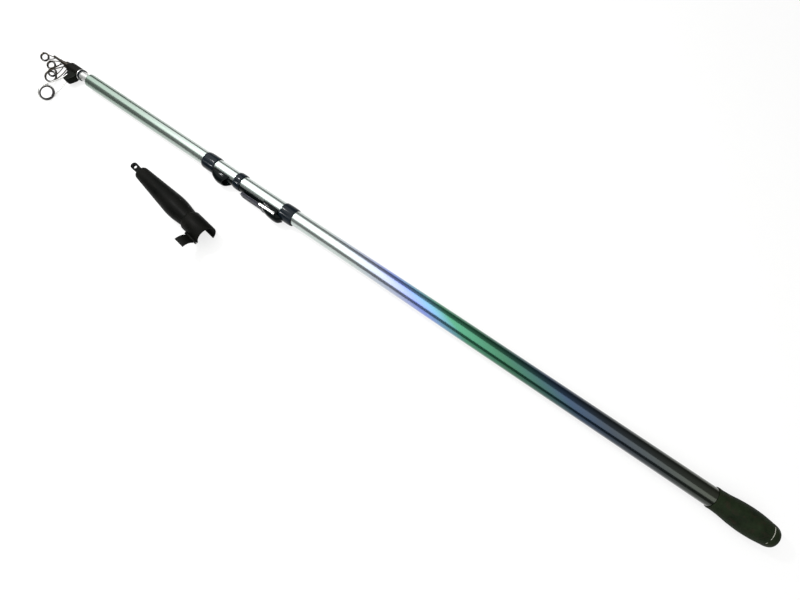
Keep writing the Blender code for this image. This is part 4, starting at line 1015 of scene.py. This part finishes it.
def fixed_hood():
    """A scoop over the plate for one end of a reel foot. Its slanted mouth faces the sliding hood."""
    low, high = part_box("fixed_hood")
    closed_x, mouth_x = low.x, high.x
    length = mouth_x - closed_x
    inner_half, outer_half, roof = hood_widths(mouth_x)
    rise = FIXED_HOOD_HEIGHT - HOOD_WALL
    outside, inside = [], []
    for share in FIXED_HOOD_STATIONS:
        top = roof + rise * hood_swell(share)
        slant = -FIXED_HOOD_SLANT * share
        outside.append(arch(closed_x + length * share, outer_half, top, HOOD_RAIL_REACH, slant))
    start = closed_x + FIXED_HOOD_BACK_WALL
    floor_level = HOOD_RAIL_REACH - HOOD_POCKET_DEPTH
    for share in FIXED_POCKET_STATIONS:
        top = roof - HOOD_WALL + rise * hood_swell(min(1.0, share))
        slant = -FIXED_HOOD_SLANT * share
        inside.append(arch(start + (mouth_x - start) * share, inner_half, top, floor_level, slant))
    made = piece("fixed_hood_fine", loft(outside), GLOSS)
    cut(made, piece("pocket", loft(inside), None), *seat_clearances(closed_x, mouth_x))
    soften(made, FIXED_HOOD_EDGE)
    carry(made, "butt_section", "black", "fixed_hood")


def sliding_hood():
    """The hood that clamps a reel foot: a scoop at its mouth, and a rounded back that houses the cam."""
    low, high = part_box("sliding_hood")
    mouth, back = low.x, high.x
    length = back - mouth
    rail_end = back - SLIDER_OVERHANG
    inner_half, outer_half, roof = hood_widths(rail_end)
    rise = SLIDER_HEIGHT - HOOD_WALL
    outside, inside = [], []
    for share, height in smooth_curve(SLIDER_OUTLINE, 6):
        width = outer_half * min(1.0, SLIDER_BACK_WIDTH + SLIDER_BACK_DRAFT * (1.0 - share))
        slant = SLIDER_SLANT * max(0.0, 1.0 - 2 * share)
        outside.append(arch(mouth + length * share, width, roof + rise * height, HOOD_RAIL_REACH, slant))
    floor_level = HOOD_RAIL_REACH - HOOD_POCKET_DEPTH
    for share in SLIDER_POCKET_STATIONS:
        along = SLIDER_POCKET * share / length
        lift = rise * between(SLIDER_OUTLINE, along) * (1.0 - POCKET_CLOSING * max(0.0, share) ** 3)
        slant = SLIDER_SLANT * max(0.0, 1.0 - 2 * along)
        top = roof - HOOD_WALL + lift
        inside.append(arch(mouth + SLIDER_POCKET * share, inner_half, top, floor_level, slant))
    made = piece("sliding_hood_fine", loft(outside), GLOSS)
    pin = lever_pin()
    chamber = CAM_HALF_WIDTH + GAP
    ears = []
    for side in (1, -1):
        low_z, high_z = sorted((side * (chamber + EAR_INSET), side * outer_half))
        ears.append(piece("ear", cylinder_z(pin, EAR_RADIUS, low_z, high_z), None))
    join(made, *ears)
    over_band = -(blank_radius(back) + 2 * GAP + PLATE_THICKNESS + BAND_WALL + SEAT_CLEARANCE)
    cut(made, piece("pocket", loft(inside), None),
        piece("step", block((rail_end, over_band, -FAR), (back + FAR, 0.0, FAR)), None),
        piece("chamber", cylinder_z(pin, CAM_RADIUS + CAM_THROW + GAP, -chamber, chamber), None),
        piece("bore", cylinder_z(pin, PIN_RADIUS + GAP, -2 * outer_half, 2 * outer_half), None),
        *seat_clearances(mouth, rail_end))
    soften(made, SLIDER_EDGE)
    carry(made, "slider", "black", "sliding_hood")


# The cam lever


def lever_pin():
    """Where the cam shaft's axis crosses X and Y."""
    rail_end = high_end("sliding_hood") - SLIDER_OVERHANG
    pin_x = rail_end - EAR_RADIUS + GAP
    return pin_x, -plate_radius(pin_x) - PIN_ABOVE_PLATE


def lever_half_gap():
    rail_end = high_end("sliding_hood") - SLIDER_OVERHANG
    return hood_widths(rail_end)[1] + GAP


def stadium(start, end, y, radius):
    """The outline of a bar with round ends."""
    return (arc_points((end, y), radius, -pi / 2, pi / 2, 12)
            + arc_points((start, y), radius, pi / 2, 3 * pi / 2, 12))


def lever():
    """The bright sheet lever: two arms, the bridge between them and the tongue inside the grip."""
    pin, arm_z = lever_pin(), lever_half_gap()
    half = LEVER_HEIGHT / 2
    arm_end = pin[0] - LEVER_ARM_LENGTH
    outline = stadium(arm_end, pin[0], pin[1], half)
    made = piece("lever_frame_fine", prism(outline, arm_z, arm_z + LEVER_SHEET), STEEL)
    top = pin[1] + LEVER_SHEET_INWARD - LEVER_SHEET / 2
    edge = arm_z + LEVER_SHEET - BRIDGE_INSET
    tongue = LEVER_TONGUE_WIDTH / 2
    tip = pin[0] - LEVER_LENGTH + TONGUE_SETBACK
    shoulder = arm_end - 2 * LEVER_BRIDGE
    plan = [(arm_end + LEVER_BRIDGE, edge), (arm_end, edge), (shoulder, tongue), (tip, tongue),
            (tip, -tongue), (shoulder, -tongue), (arm_end, -edge), (arm_end + LEVER_BRIDGE, -edge)]
    join(made, piece("far_arm", prism(outline, -arm_z - LEVER_SHEET, -arm_z), None),
         piece("bridge", prism(plan, top, top + LEVER_SHEET, "XZ"), None))
    cut(made, piece("bore", cylinder_z(pin, PIN_RADIUS + GAP, -2 * edge, 2 * edge), None))
    soften(made, LEVER_EDGE, 3)
    carry(made, "lever", "steel", "lever_frame")
    grip(arm_end - LEVER_BRIDGE / 2, shoulder, pin[0] - LEVER_LENGTH, top + LEVER_SHEET / 2, edge)
    shaft(pin, arm_z)


def grip(start, shoulder, tip, middle, flare):
    """The moulded grip, flared over the lever's bridge, with grooves along its outer face and its sides."""
    half, corner = GRIP_WIDTH / 2, GRIP_CORNER
    outline = ([(shoulder, -half), (start, -flare), (start, flare), (shoulder, half)]
               + arc_points((tip + corner, half - corner), corner, pi / 2, pi, 12)
               + arc_points((tip + corner, -half + corner), corner, pi, 3 * pi / 2, 12))
    outer, inner = middle - GRIP_THICKNESS / 2, middle + GRIP_THICKNESS / 2
    made = piece("lever_grip_fine", prism(outline, outer, inner, "XZ"), GREY)
    grooves = []
    for k in range(-2, 3):
        line = [(shoulder, outer, k * RIB_PITCH), (tip + RIB_SETBACK, outer, k * RIB_PITCH)]
        grooves.append(piece("groove", wire(line, RIB_GROOVE, 16), None))
    for side in (1, -1):
        for depth in SIDE_GROOVE_LEVELS:
            y = outer + GRIP_THICKNESS * depth
            line = [(shoulder - SIDE_GROOVE_INSET, y, side * half),
                    (tip + SIDE_GROOVE_SETBACK, y, side * half)]
            grooves.append(piece("groove", wire(line, SIDE_GROOVE, 12), None))
    under, over = middle - LEVER_SHEET / 2 - GAP, middle + LEVER_SHEET / 2 + GAP
    tongue = LEVER_TONGUE_WIDTH / 2 + GAP
    pocket = block((tip + TONGUE_SETBACK, under, -tongue), (start + FAR, over, tongue))
    flared = block((shoulder - GAP, under, -2 * flare), (start + FAR, 0.0, 2 * flare))
    cut(made, piece("pocket", pocket, None), piece("pocket", flared, None), *grooves)
    soften(made, GRIP_EDGE, 3)
    carry(made, "lever", "grey", "lever_grip")


def shaft(pin, arm_z):
    """The lever's cross shaft: an off-centre cam between two hollow rivet heads."""
    head = arm_z + LEVER_SHEET + GAP
    dome = [(head + PIN_HEAD_HEIGHT * sin(a), PIN_HEAD_RADIUS * cos(a), 0.0) for a in
            [radians(9 * i) for i in range(7)]]
    hollow = head - HOLLOW_DEPTH
    dome += [(head + HOLLOW_RIM_LEVEL, HOLLOW_RIM_RADIUS, 0.0), (hollow, HOLLOW_FLOOR_RADIUS, 0.0),
             (hollow, HOLLOW_MIDDLE_RADIUS, 0.0)]
    middle = [(CAM_HALF_WIDTH, PIN_RADIUS, 0.0), (CAM_HALF_WIDTH, CAM_RADIUS, CAM_THROW)]
    half = middle[::-1] + [(head, PIN_RADIUS, 0.0)] + dome
    levels = [(-z, radius, throw) for z, radius, throw in half[::-1]] + half
    angles = [2 * pi * i / MEDIUM for i in range(MEDIUM)]
    sections = [[(pin[0] + radius * cos(a), pin[1] - throw + radius * sin(a), z) for a in angles]
                for z, radius, throw in levels]
    dress("cam_shaft", loft(sections), STEEL, "lever", "steel")


# The guides


def insert_sizes(node):
    """A ring's middle along the rod, its distance below the axis, its outer radius and its width."""
    low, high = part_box(node)
    return (low.x + high.x) / 2, -(low.y + high.y) / 2, (high.z - low.z) / 2, high.x - low.x


def ring_insert(node, body, wall):
    """A hard ring: flat outside, with a full round bore."""
    x, reach, outer, width = insert_sizes(node)
    half, bore = width / 2, outer - wall
    lip = [(x - half * cos(a), bore + wall * INSERT_ROUND * (1 - sin(a)))
           for a in [pi * i / 16 for i in range(17)]]
    edge = INSERT_EDGE
    profile = [(x + half, outer - edge), (x + half - edge, outer), (x - half + edge, outer),
               (x - half, outer - edge), *lip]
    dress(node, lathe(profile, RING, centre=(-reach, 0.0)), CERAMIC, body, "ceramic")


def ring_band(name, body, finish):
    """The rounded metal band round a guide's hard ring."""
    x_ring, reach, insert_r, insert_width = insert_sizes(name + "_insert")
    inner, outer = insert_r + GAP, insert_r + GAP + RING_BAND
    half = insert_width * RING_BAND_HALF
    profile = [(x_ring - half, inner)]
    profile += [(x_ring - half * cos(a), outer - RING_ROUND * (1 - sin(a)))
                for a in [pi * i / 10 for i in range(11)]]
    profile += [(x_ring + half, inner)]
    made = piece(name + "_band_fine", lathe(profile, RING, centre=(-reach, 0.0)), finish)
    carry(made, body, "steel")
    return x_ring, reach, outer


def collar(name, low_x, high_x, bore, blind, finish):
    """The tube that sits on the blank. A blind one is closed at its tip end."""
    outer, edge = bore + COLLAR_WALL, COLLAR_EDGE
    outside = [(low_x, outer - edge), (low_x + edge, outer), (high_x - edge, outer), (high_x, outer - edge),
               (high_x, bore)]
    if blind is None:
        tube = lathe([(low_x, bore), *outside], MEDIUM)
    else:
        tube = lathe([(low_x, 0.0), *outside, (blind, bore), (blind, 0.0)], MEDIUM, closed=False)
    return piece(name + "_frame_fine", tube, finish, smooth=50)


def guide(name, body, collar_bore, wire_width, insert_wall, sleeve, finish=SMOKED, spread=None, elbow=None,
          leg_x=None, blind=None):
    """A guide's collar, its ring band, and two wire legs with a bead of braze where they meet the band."""
    collar_low, collar_high = sleeve
    collar_r = collar_bore + COLLAR_WALL
    made = collar(name, collar_low, collar_high, collar_bore, blind, finish)
    x_ring, reach, band_r = ring_band(name, body, finish)
    foot = collar_r * LEG_FOOT_SHARE if spread is None else spread
    leg_place = min(LEG_FROM_COLLAR_END, (collar_high - collar_low) / 2)
    middle = collar_low + leg_place if leg_x is None else leg_x
    start_y = -sqrt((collar_r - LEG_SINK) ** 2 - foot**2)
    tools = []
    for side in (1, -1):
        start = (middle, start_y, side * foot)
        stop = (x_ring, -reach + band_r * cos(LEG_SWING), side * band_r * sin(LEG_SWING))
        if elbow:
            line = bent([start, (middle, -elbow, side * foot), stop], ELBOW_RADIUS, 10)
        else:
            belly = ((middle + x_ring) / 2 + LEG_BELLY, (start_y + stop[1]) / 2,
                     side * (foot + (abs(stop[2]) - foot) * LEG_BELLY_SHARE))
            line = curve_through([start, belly, stop], 8)
        bead = bmesh.new()
        bmesh.ops.create_icosphere(bead, subdivisions=3, radius=wire_width * BEAD_SHARE)
        bmesh.ops.translate(bead, verts=bead.verts, vec=Vector(stop) + Vector((0.0, BEAD_INSET, 0.0)))
        tools += [piece("leg", wire(line, wire_width / 2), None), piece("braze", bead, None)]
    join(made, *tools)
    _, _, insert_r, insert_width = insert_sizes(name + "_insert")
    way = rod(x_ring - insert_width, x_ring + insert_width, insert_r + GAP * 2, RING, (-reach, 0.0))
    cut(made, piece("insert_way", way, None))
    crease(made.data, 42)
    carry(made, body, "steel", name + "_frame")
    ring_insert(name + "_insert", body, insert_wall)


def large_guide_base():
    """The wrapped sleeve, trim rings and moulded foot at the tip of the second section."""
    bore = SECTION_2_TIP_RADIUS + COLLAR_FIT
    foot_low, foot_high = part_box("large_guide_foot")
    profile = ring_profile("section_2_wrap", bore + COLLAR_WALL + GAP)
    sleeve = piece("section_2_wrap_fine", lathe(eased(profile, WRAP_EDGE, 3), FINE), WRAP, smooth=50)
    width = foot_high.z + LARGE_WIRE / 2
    window = block((foot_low.x + FOOT_FORWARD - GAP, -FAR, -width), (foot_high.x + GAP, -2 * GAP, width))
    cut(sleeve, piece("window", window, None))
    crease(sleeve.data, 40)
    carry(sleeve, "section_2", "black", "section_2_wrap")
    plain_ring("section_2_trim_ring", "section_2", STEEL, "steel", bore, TRIM_EDGE)
    plain_ring("section_2_edge_ring", "section_2", BLACK, "black", bore, TRIM_EDGE)
    foot()


def foot():
    """The moulded foot: a tapered block with rounded corners and a groove for each leg."""
    low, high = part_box("large_guide_foot")
    seat_r = SECTION_2_TIP_RADIUS + COLLAR_FIT + COLLAR_WALL + GAP
    leg_x = low_end("section_2_blank") + LARGE_LEG_FROM_TIP + FOOT_FORWARD
    half = high.z
    front = low.x + FOOT_FORWARD
    inside, step = -seat_r * FOOT_ROOT_SHARE, low.y + FOOT_LEDGE
    outline = [(front, inside), (front, -seat_r - FOOT_LEDGE), (leg_x - FOOT_NOSE[0], step),
               (leg_x - FOOT_NOSE[1], low.y), (leg_x + FOOT_HEEL[0], low.y), (leg_x + FOOT_HEEL[1], step),
               (high.x, -seat_r - FOOT_BACK_LEDGE), (high.x, inside)]
    made = piece("large_guide_foot_fine", prism(outline, -half, half), MATTE)
    seat = rod(low.x - FOOT_CUT_RUN, high.x + FOOT_CUT_RUN, seat_r)
    clear = LARGE_WIRE / 2 + GAP
    groove_top = -seat_r - FOOT_GROOVE_FROM_SEAT
    grooves = []
    for side in (1, -1):
        near, far = sorted((side * (LARGE_LEG_SPREAD - clear), side * (half + FOOT_CUT_RUN)))
        way = block((leg_x - clear, low.y - FOOT_CUT_RUN, near), (leg_x + clear, groove_top, far))
        grooves.append(piece("groove", way, None))
    soften(made, FOOT_EDGE, 4)
    cut(made, piece("seat", seat, None), *grooves)
    soften(made, FOOT_GROOVE_EDGE)
    carry(made, "section_2", "black", "large_guide_foot")


def guides():
    tip_x = low_end("section_2_blank")
    guide("large_guide", "section_2", SECTION_2_TIP_RADIUS + COLLAR_FIT, LARGE_WIRE, LARGE_INSERT_WALL,
          (tip_x + LARGE_COLLAR_FROM_TIP, low_end("section_2_trim_ring") - GAP), STEEL,
          LARGE_LEG_SPREAD, LARGE_LEG_ELBOW, tip_x + LARGE_LEG_FROM_TIP + FOOT_FORWARD)
    low_x = low_end("section_3_blank") + GAP
    bore = SECTION_3_TIP_RADIUS + 2 * GAP
    guide("middle_guide", "section_3", bore, MIDDLE_WIRE, SMALL_INSERT_WALL,
          (low_x, low_x + MIDDLE_COLLAR_LENGTH))
    for name, float_bore in FLOAT_COLLAR_BORES:
        high_x = high_end(name + "_frame")
        guide(name, name, float_bore, FLOAT_WIRE, SMALL_INSERT_WALL, (high_x - FLOAT_COLLAR_LENGTH, high_x))
    high_x = high_end("tip_top_frame")
    tube_r = high_end("tip_top_frame", 1) - COLLAR_WALL
    guide("tip_top", "tip_section", tube_r, TIP_WIRE, SMALL_INSERT_WALL, (high_x - TIP_TUBE_LENGTH, high_x),
          blind=low_end("tip_blank") - GAP)
    plain_ring("section_3_wrap", "section_3", WRAP, "black", bore, SMALL_WRAP_EDGE)


# The tip cover


def cover_place():
    """The cover lies on the floor, turned a little from the rod."""
    level = FLOOR_LEVEL + FLOOR_ALONG * COVER_PLACE[0] + FLOOR_ACROSS * COVER_PLACE[1]
    largest = max(height for _, _, height in COVER_OUTLINE)
    upright = Vector((-FLOOR_ALONG, -FLOOR_ACROSS, 1.0)).normalized()
    forward = Vector((cos(COVER_YAW), sin(COVER_YAW), 0.0))
    sideways = upright.cross(forward).normalized()
    forward = sideways.cross(upright)
    turn = Matrix((forward, sideways, upright)).transposed().to_4x4()
    return Matrix.Translation((*COVER_PLACE, level + largest)) @ turn


def cover_section(u, half_width, half_height):
    angles = [2 * pi * i / FINE for i in range(FINE)]
    return [(u, -half_width * cos(a), half_height * sin(a)) for a in angles]


def hinge_line():
    """Where the clasp's pin is, across the cover."""
    reach = COVER_BAND_RADIUS + HINGE_OFFSET
    height = SLOT_EDGE_HEIGHT + HINGE_RISE
    return -sqrt(reach**2 - height**2), height


def knuckle(start, end, hinge, radius=KNUCKLE_RADIUS):
    return wire([(start, *hinge), (end, *hinge)], radius, KNUCKLE)


def cover_outline(inset=0.0):
    """The cover from its shoulder to its mouth band: straight runs that turn in soft corners."""
    return [(u, width - inset, height - inset) for u, width, height in bent(COVER_OUTLINE, COVER_CORNER, 6)]


def cover_shapes():
    """The cover's outside and its inside, up to the mouth."""
    outside = [cover_section(*station) for station in [*COVER_SHOULDER, *cover_outline()[1:]]]
    stations = [(COVER_BAND_START + step, drop) for step, drop in COVER_STEP]
    stations += [(COVER_LENGTH - COVER_RIM, 0.0), (COVER_LENGTH, COVER_RIM_DROP)]
    outside += [cover_section(u, COVER_BAND_RADIUS - drop, COVER_BAND_RADIUS - drop)
                for u, drop in stations]
    inside = [cover_section(u + COVER_WALL, width, height)
              for u, width, height in cover_outline(COVER_WALL)[4:]]
    bore = COVER_BAND_RADIUS - COVER_WALL
    inside += [cover_section(u, bore, bore)
               for u in (COVER_BAND_START + COVER_WALL, COVER_LENGTH + MOUTH_CUT_RUN)]
    return loft(outside), loft(inside)


def tip_cover():
    """The loose cover: a shell with a lug, a slotted mouth and a hinge, then its pin and its clasp."""
    place = cover_place()

    def tool(mesh):
        return piece("cover_tool", mesh, None, place=place)

    outside, inside = cover_shapes()
    shell = piece("cover_shell_fine", outside, COVER, place=place)
    hinge = hinge_line()
    slot_from = COVER_LENGTH - SLOT_LENGTH
    join(shell, tool(lug()))
    slot_to = -COVER_BAND_RADIUS * cos(SLOT_FAR_END)
    slot = block((slot_from, -FAR, -FAR), (COVER_LENGTH + COVER_CUT_RUN, slot_to, SLOT_EDGE_HEIGHT))
    start, end = clasp_ends()
    way = knuckle(start - CLASP_FIT, end + CLASP_FIT, hinge, KNUCKLE_RADIUS + CLASP_FIT)
    cut(shell, tool(inside), tool(slot), tool(way), tool(lug_hole()))
    near = slot_from + GAP
    far = COVER_LENGTH - KNUCKLE_SETBACK - KNUCKLE_LENGTH
    join(shell, *[tool(knuckle(u, u + KNUCKLE_LENGTH, hinge)) for u in (near, far)])
    line = [(slot_from - COVER_CUT_RUN, *hinge), (COVER_LENGTH + COVER_CUT_RUN, *hinge)]
    bore = wire(line, COVER_PIN_RADIUS + GAP)
    cut(shell, tool(bore))
    soften(shell, COVER_EDGE, angle=38)
    carry(shell, "tip_cover", "black", "cover_shell")
    ends = (near - COVER_PIN_PROUD, COVER_LENGTH - KNUCKLE_SETBACK + COVER_PIN_PROUD)
    pin = piece("clasp_pin_fine", wire([(u, *hinge) for u in ends], COVER_PIN_RADIUS), STEEL, place=place)
    soften(pin, PIN_EDGE, 3)
    carry(pin, "tip_cover", "steel", "clasp_pin")
    clasp(hinge, place)


def lug():
    """The flat ear at the cover's closed end, with a round tip and a waist."""
    end, waist, neck = LUG_WIDTH / 2, LUG_WAIST / 2, LUG_NECK / 2
    side = [(LUG_ROOT, waist), (-LUG_WAIST_PLACE, waist), (-LUG_NECK_PLACE, neck)]
    outline = (side + arc_points((-LUG_LENGTH + end, 0.0), end, pi / 2, 3 * pi / 2, 25)
               + [(x, -y) for x, y in side[::-1]])
    return prism(outline, -LUG_THICKNESS / 2, LUG_THICKNESS / 2)


def lug_hole():
    radius = LUG_HOLE_WIDTH / 2
    run = LUG_HOLE_LENGTH / 2 - radius
    outline = stadium(-LUG_HOLE_PLACE - run, -LUG_HOLE_PLACE + run, 0.0, radius)
    return prism(outline, -LUG_THICKNESS, LUG_THICKNESS)


def clasp_ends():
    """Where the clasp starts and ends along the cover, between the shell's two knuckles."""
    start = COVER_LENGTH - SLOT_LENGTH + GAP + KNUCKLE_LENGTH + CLASP_FIT
    return start, COVER_LENGTH - KNUCKLE_SETBACK - KNUCKLE_LENGTH - CLASP_FIT


def clasp(hinge, place):
    """The clasp is made closed, and stands open on its pin."""
    start, end = clasp_ends()
    to_hinge = Matrix.Translation((0.0, *hinge))
    opened = place @ to_hinge @ Matrix.Rotation(-CLASP_OPEN, 4, "X") @ to_hinge.inverted()
    first = asin(SLOT_EDGE_HEIGHT / COVER_BAND_RADIUS) - CLASP_FIT / COVER_BAND_RADIUS
    last = -SLOT_END + 2 * CLASP_FIT / COVER_BAND_RADIUS
    outer, inner = COVER_BAND_RADIUS, COVER_BAND_RADIUS - COVER_WALL
    angles = [first + (last - first) * i / 30 for i in range(31)]
    outline = [(-outer * cos(a), outer * sin(a)) for a in angles]
    outline += [(-inner * cos(a), inner * sin(a)) for a in angles[::-1]]
    plate = loft([[(u, y, z) for y, z in outline] for u in (start, end)])
    made = piece("cover_clasp_fine", plate, COVER, place=opened)
    barrel = knuckle(start + CLASP_FIT, end - CLASP_FIT, hinge)
    join(made, piece("barrel", barrel, None, place=opened))
    line = [(start - COVER_CUT_RUN, *hinge), (end + COVER_CUT_RUN, *hinge)]
    bore = wire(line, COVER_PIN_RADIUS + GAP)
    cut(made, piece("bore", bore, None, place=opened))
    soften(made, CLASP_EDGE, angle=38)
    carry(made, "clasp", "black", "cover_clasp")


# The studio


def camera():
    data = bpy.data.cameras.new("camera")
    data.sensor_width = 36.0
    data.lens = CAMERA_LENS
    data.clip_start = 0.01
    made = linked("camera", data)
    turn = Matrix.Rotation(CAMERA_HEADING, 4, "Z") @ Matrix.Rotation(CAMERA_TILT, 4, "X")
    made.matrix_world = Matrix.Translation(CAMERA_PLACE) @ turn
    bpy.context.scene.camera = made


def ray(nodes, kind):
    """1 for rays of one kind: Camera, Glossy, Transmission."""
    return nodes.node("ShaderNodeLightPath", output=f"Is {kind} Ray")


def seen_directly(nodes):
    """1 for rays from the camera, or that a shiny or clear surface sends on."""
    total = ray(nodes, "Camera")
    for kind in ("Glossy", "Transmission"):
        total = nodes.node("ShaderNodeMath", {"operation": "MAXIMUM"}, {0: total, 1: ray(nodes, kind)})
    return total


def white_paper():
    """The sheet's paper. To the camera it partly glows, and wholly so far from the rod, to stay white."""
    finish = Finish("white_paper", Roughness=1.0, Specular_IOR_Level=0.0)
    grain = finish.node("ShaderNodeTexNoise", {}, {"Scale": 300.0})
    finish.feed(Base_Color=finish.ramp(grain, ((0.0, (0.88, 0.88, 0.865)), (1.0, (0.92, 0.92, 0.91)))))
    glow = finish.node("ShaderNodeEmission", {}, {"Color": (1.0, 1.0, 1.0, 1.0)})
    from_rod = finish.node("ShaderNodeMapping", {}, {"Vector": finish.place(), "Scale": (0.57, 1.0, 0.0),
                                                     "Location": (1.03, 0.0, 0.0)})
    away = finish.node("ShaderNodeVectorMath", {"operation": "LENGTH"}, {0: from_rod}, output="Value")
    share = seen_directly(finish) * finish.spread(away, 1.0, 1.6, 0.75, 1.0)
    paper = Mask(finish, finish.shader.outputs[0])
    mixed = finish.node("ShaderNodeMixShader", {}, {0: share, 1: paper, 2: glow})
    finish.tree.links.new(mixed.socket, finish.tree.nodes["Material Output"].inputs["Surface"])
    return finish.material


def floor():
    """A wide white sheet under the rod."""
    sheet = bmesh.new()
    reach, middle_x, below = 4.0, -0.6, 0.0002
    corners = [(middle_x + a * reach, b * reach) for a, b in ((-1, -1), (1, -1), (1, 1), (-1, 1))]
    sheet.faces.new([sheet.verts.new((x, y, FLOOR_LEVEL + FLOOR_ALONG * x + FLOOR_ACROSS * y - below))
                     for x, y in corners])
    made = piece("floor", sheet, white_paper())


def world():
    """A white room. Shiny surfaces see its walls darken towards the floor, as in a light tent."""
    made = bpy.data.worlds.new("studio")
    bpy.context.scene.world = made
    made.use_nodes = True
    made.node_tree.nodes.clear()
    nodes = Nodes(made.node_tree)
    way = nodes.node("ShaderNodeTexCoord", output="Generated")
    height = nodes.node("ShaderNodeSeparateXYZ", {}, {0: way}, output="Z")
    levels = ((0.0, 0.35), (0.12, 0.10), (0.40, 0.12), (0.75, 0.35), (1.0, 0.50))
    wall = nodes.ramp(height, [(place, (level, level, level * 0.99)) for place, level in levels])
    shown = nodes.blend(ray(nodes, "Glossy"), (0.30, 0.30, 0.30), wall)
    seen = nodes.blend(ray(nodes, "Camera"), shown, (1.0, 1.0, 1.0))
    light = nodes.node("ShaderNodeBackground", {}, {"Color": seen})
    nodes.node("ShaderNodeOutputWorld", {}, {"Surface": light})


def lamp(name, place, size, power, turn=0.0, lean=(0.0, 0.0)):
    """A soft box over the rod, turned round the vertical. It faces down, or leans by two angles."""
    data = bpy.data.lights.new(name, "AREA")
    data.shape = "RECTANGLE"
    data.size, data.size_y = size
    data.energy = power
    made = linked(name, data)
    made.location = place
    made.rotation_euler = (*lean, turn)


def studio():
    floor()
    world()
    lamp("overhead", (-1.3, -0.1, 1.3), (5.4, 1.9), 57.0, radians(-35))
    lamp("spark", (-1.42, 0.0, 1.03), (0.11, 0.11), 7.5, lean=(0.0, radians(-32)))
    bpy.context.scene.view_settings.view_transform = "Standard"


camera()
blanks()
butt_end()
for band in ("band_front", "band_middle", "band_rear"):
    seat_band(band)
seat_plate()
fixed_hood()
sliding_hood()
lever()
guides()
large_guide_base()
tip_cover()
studio()
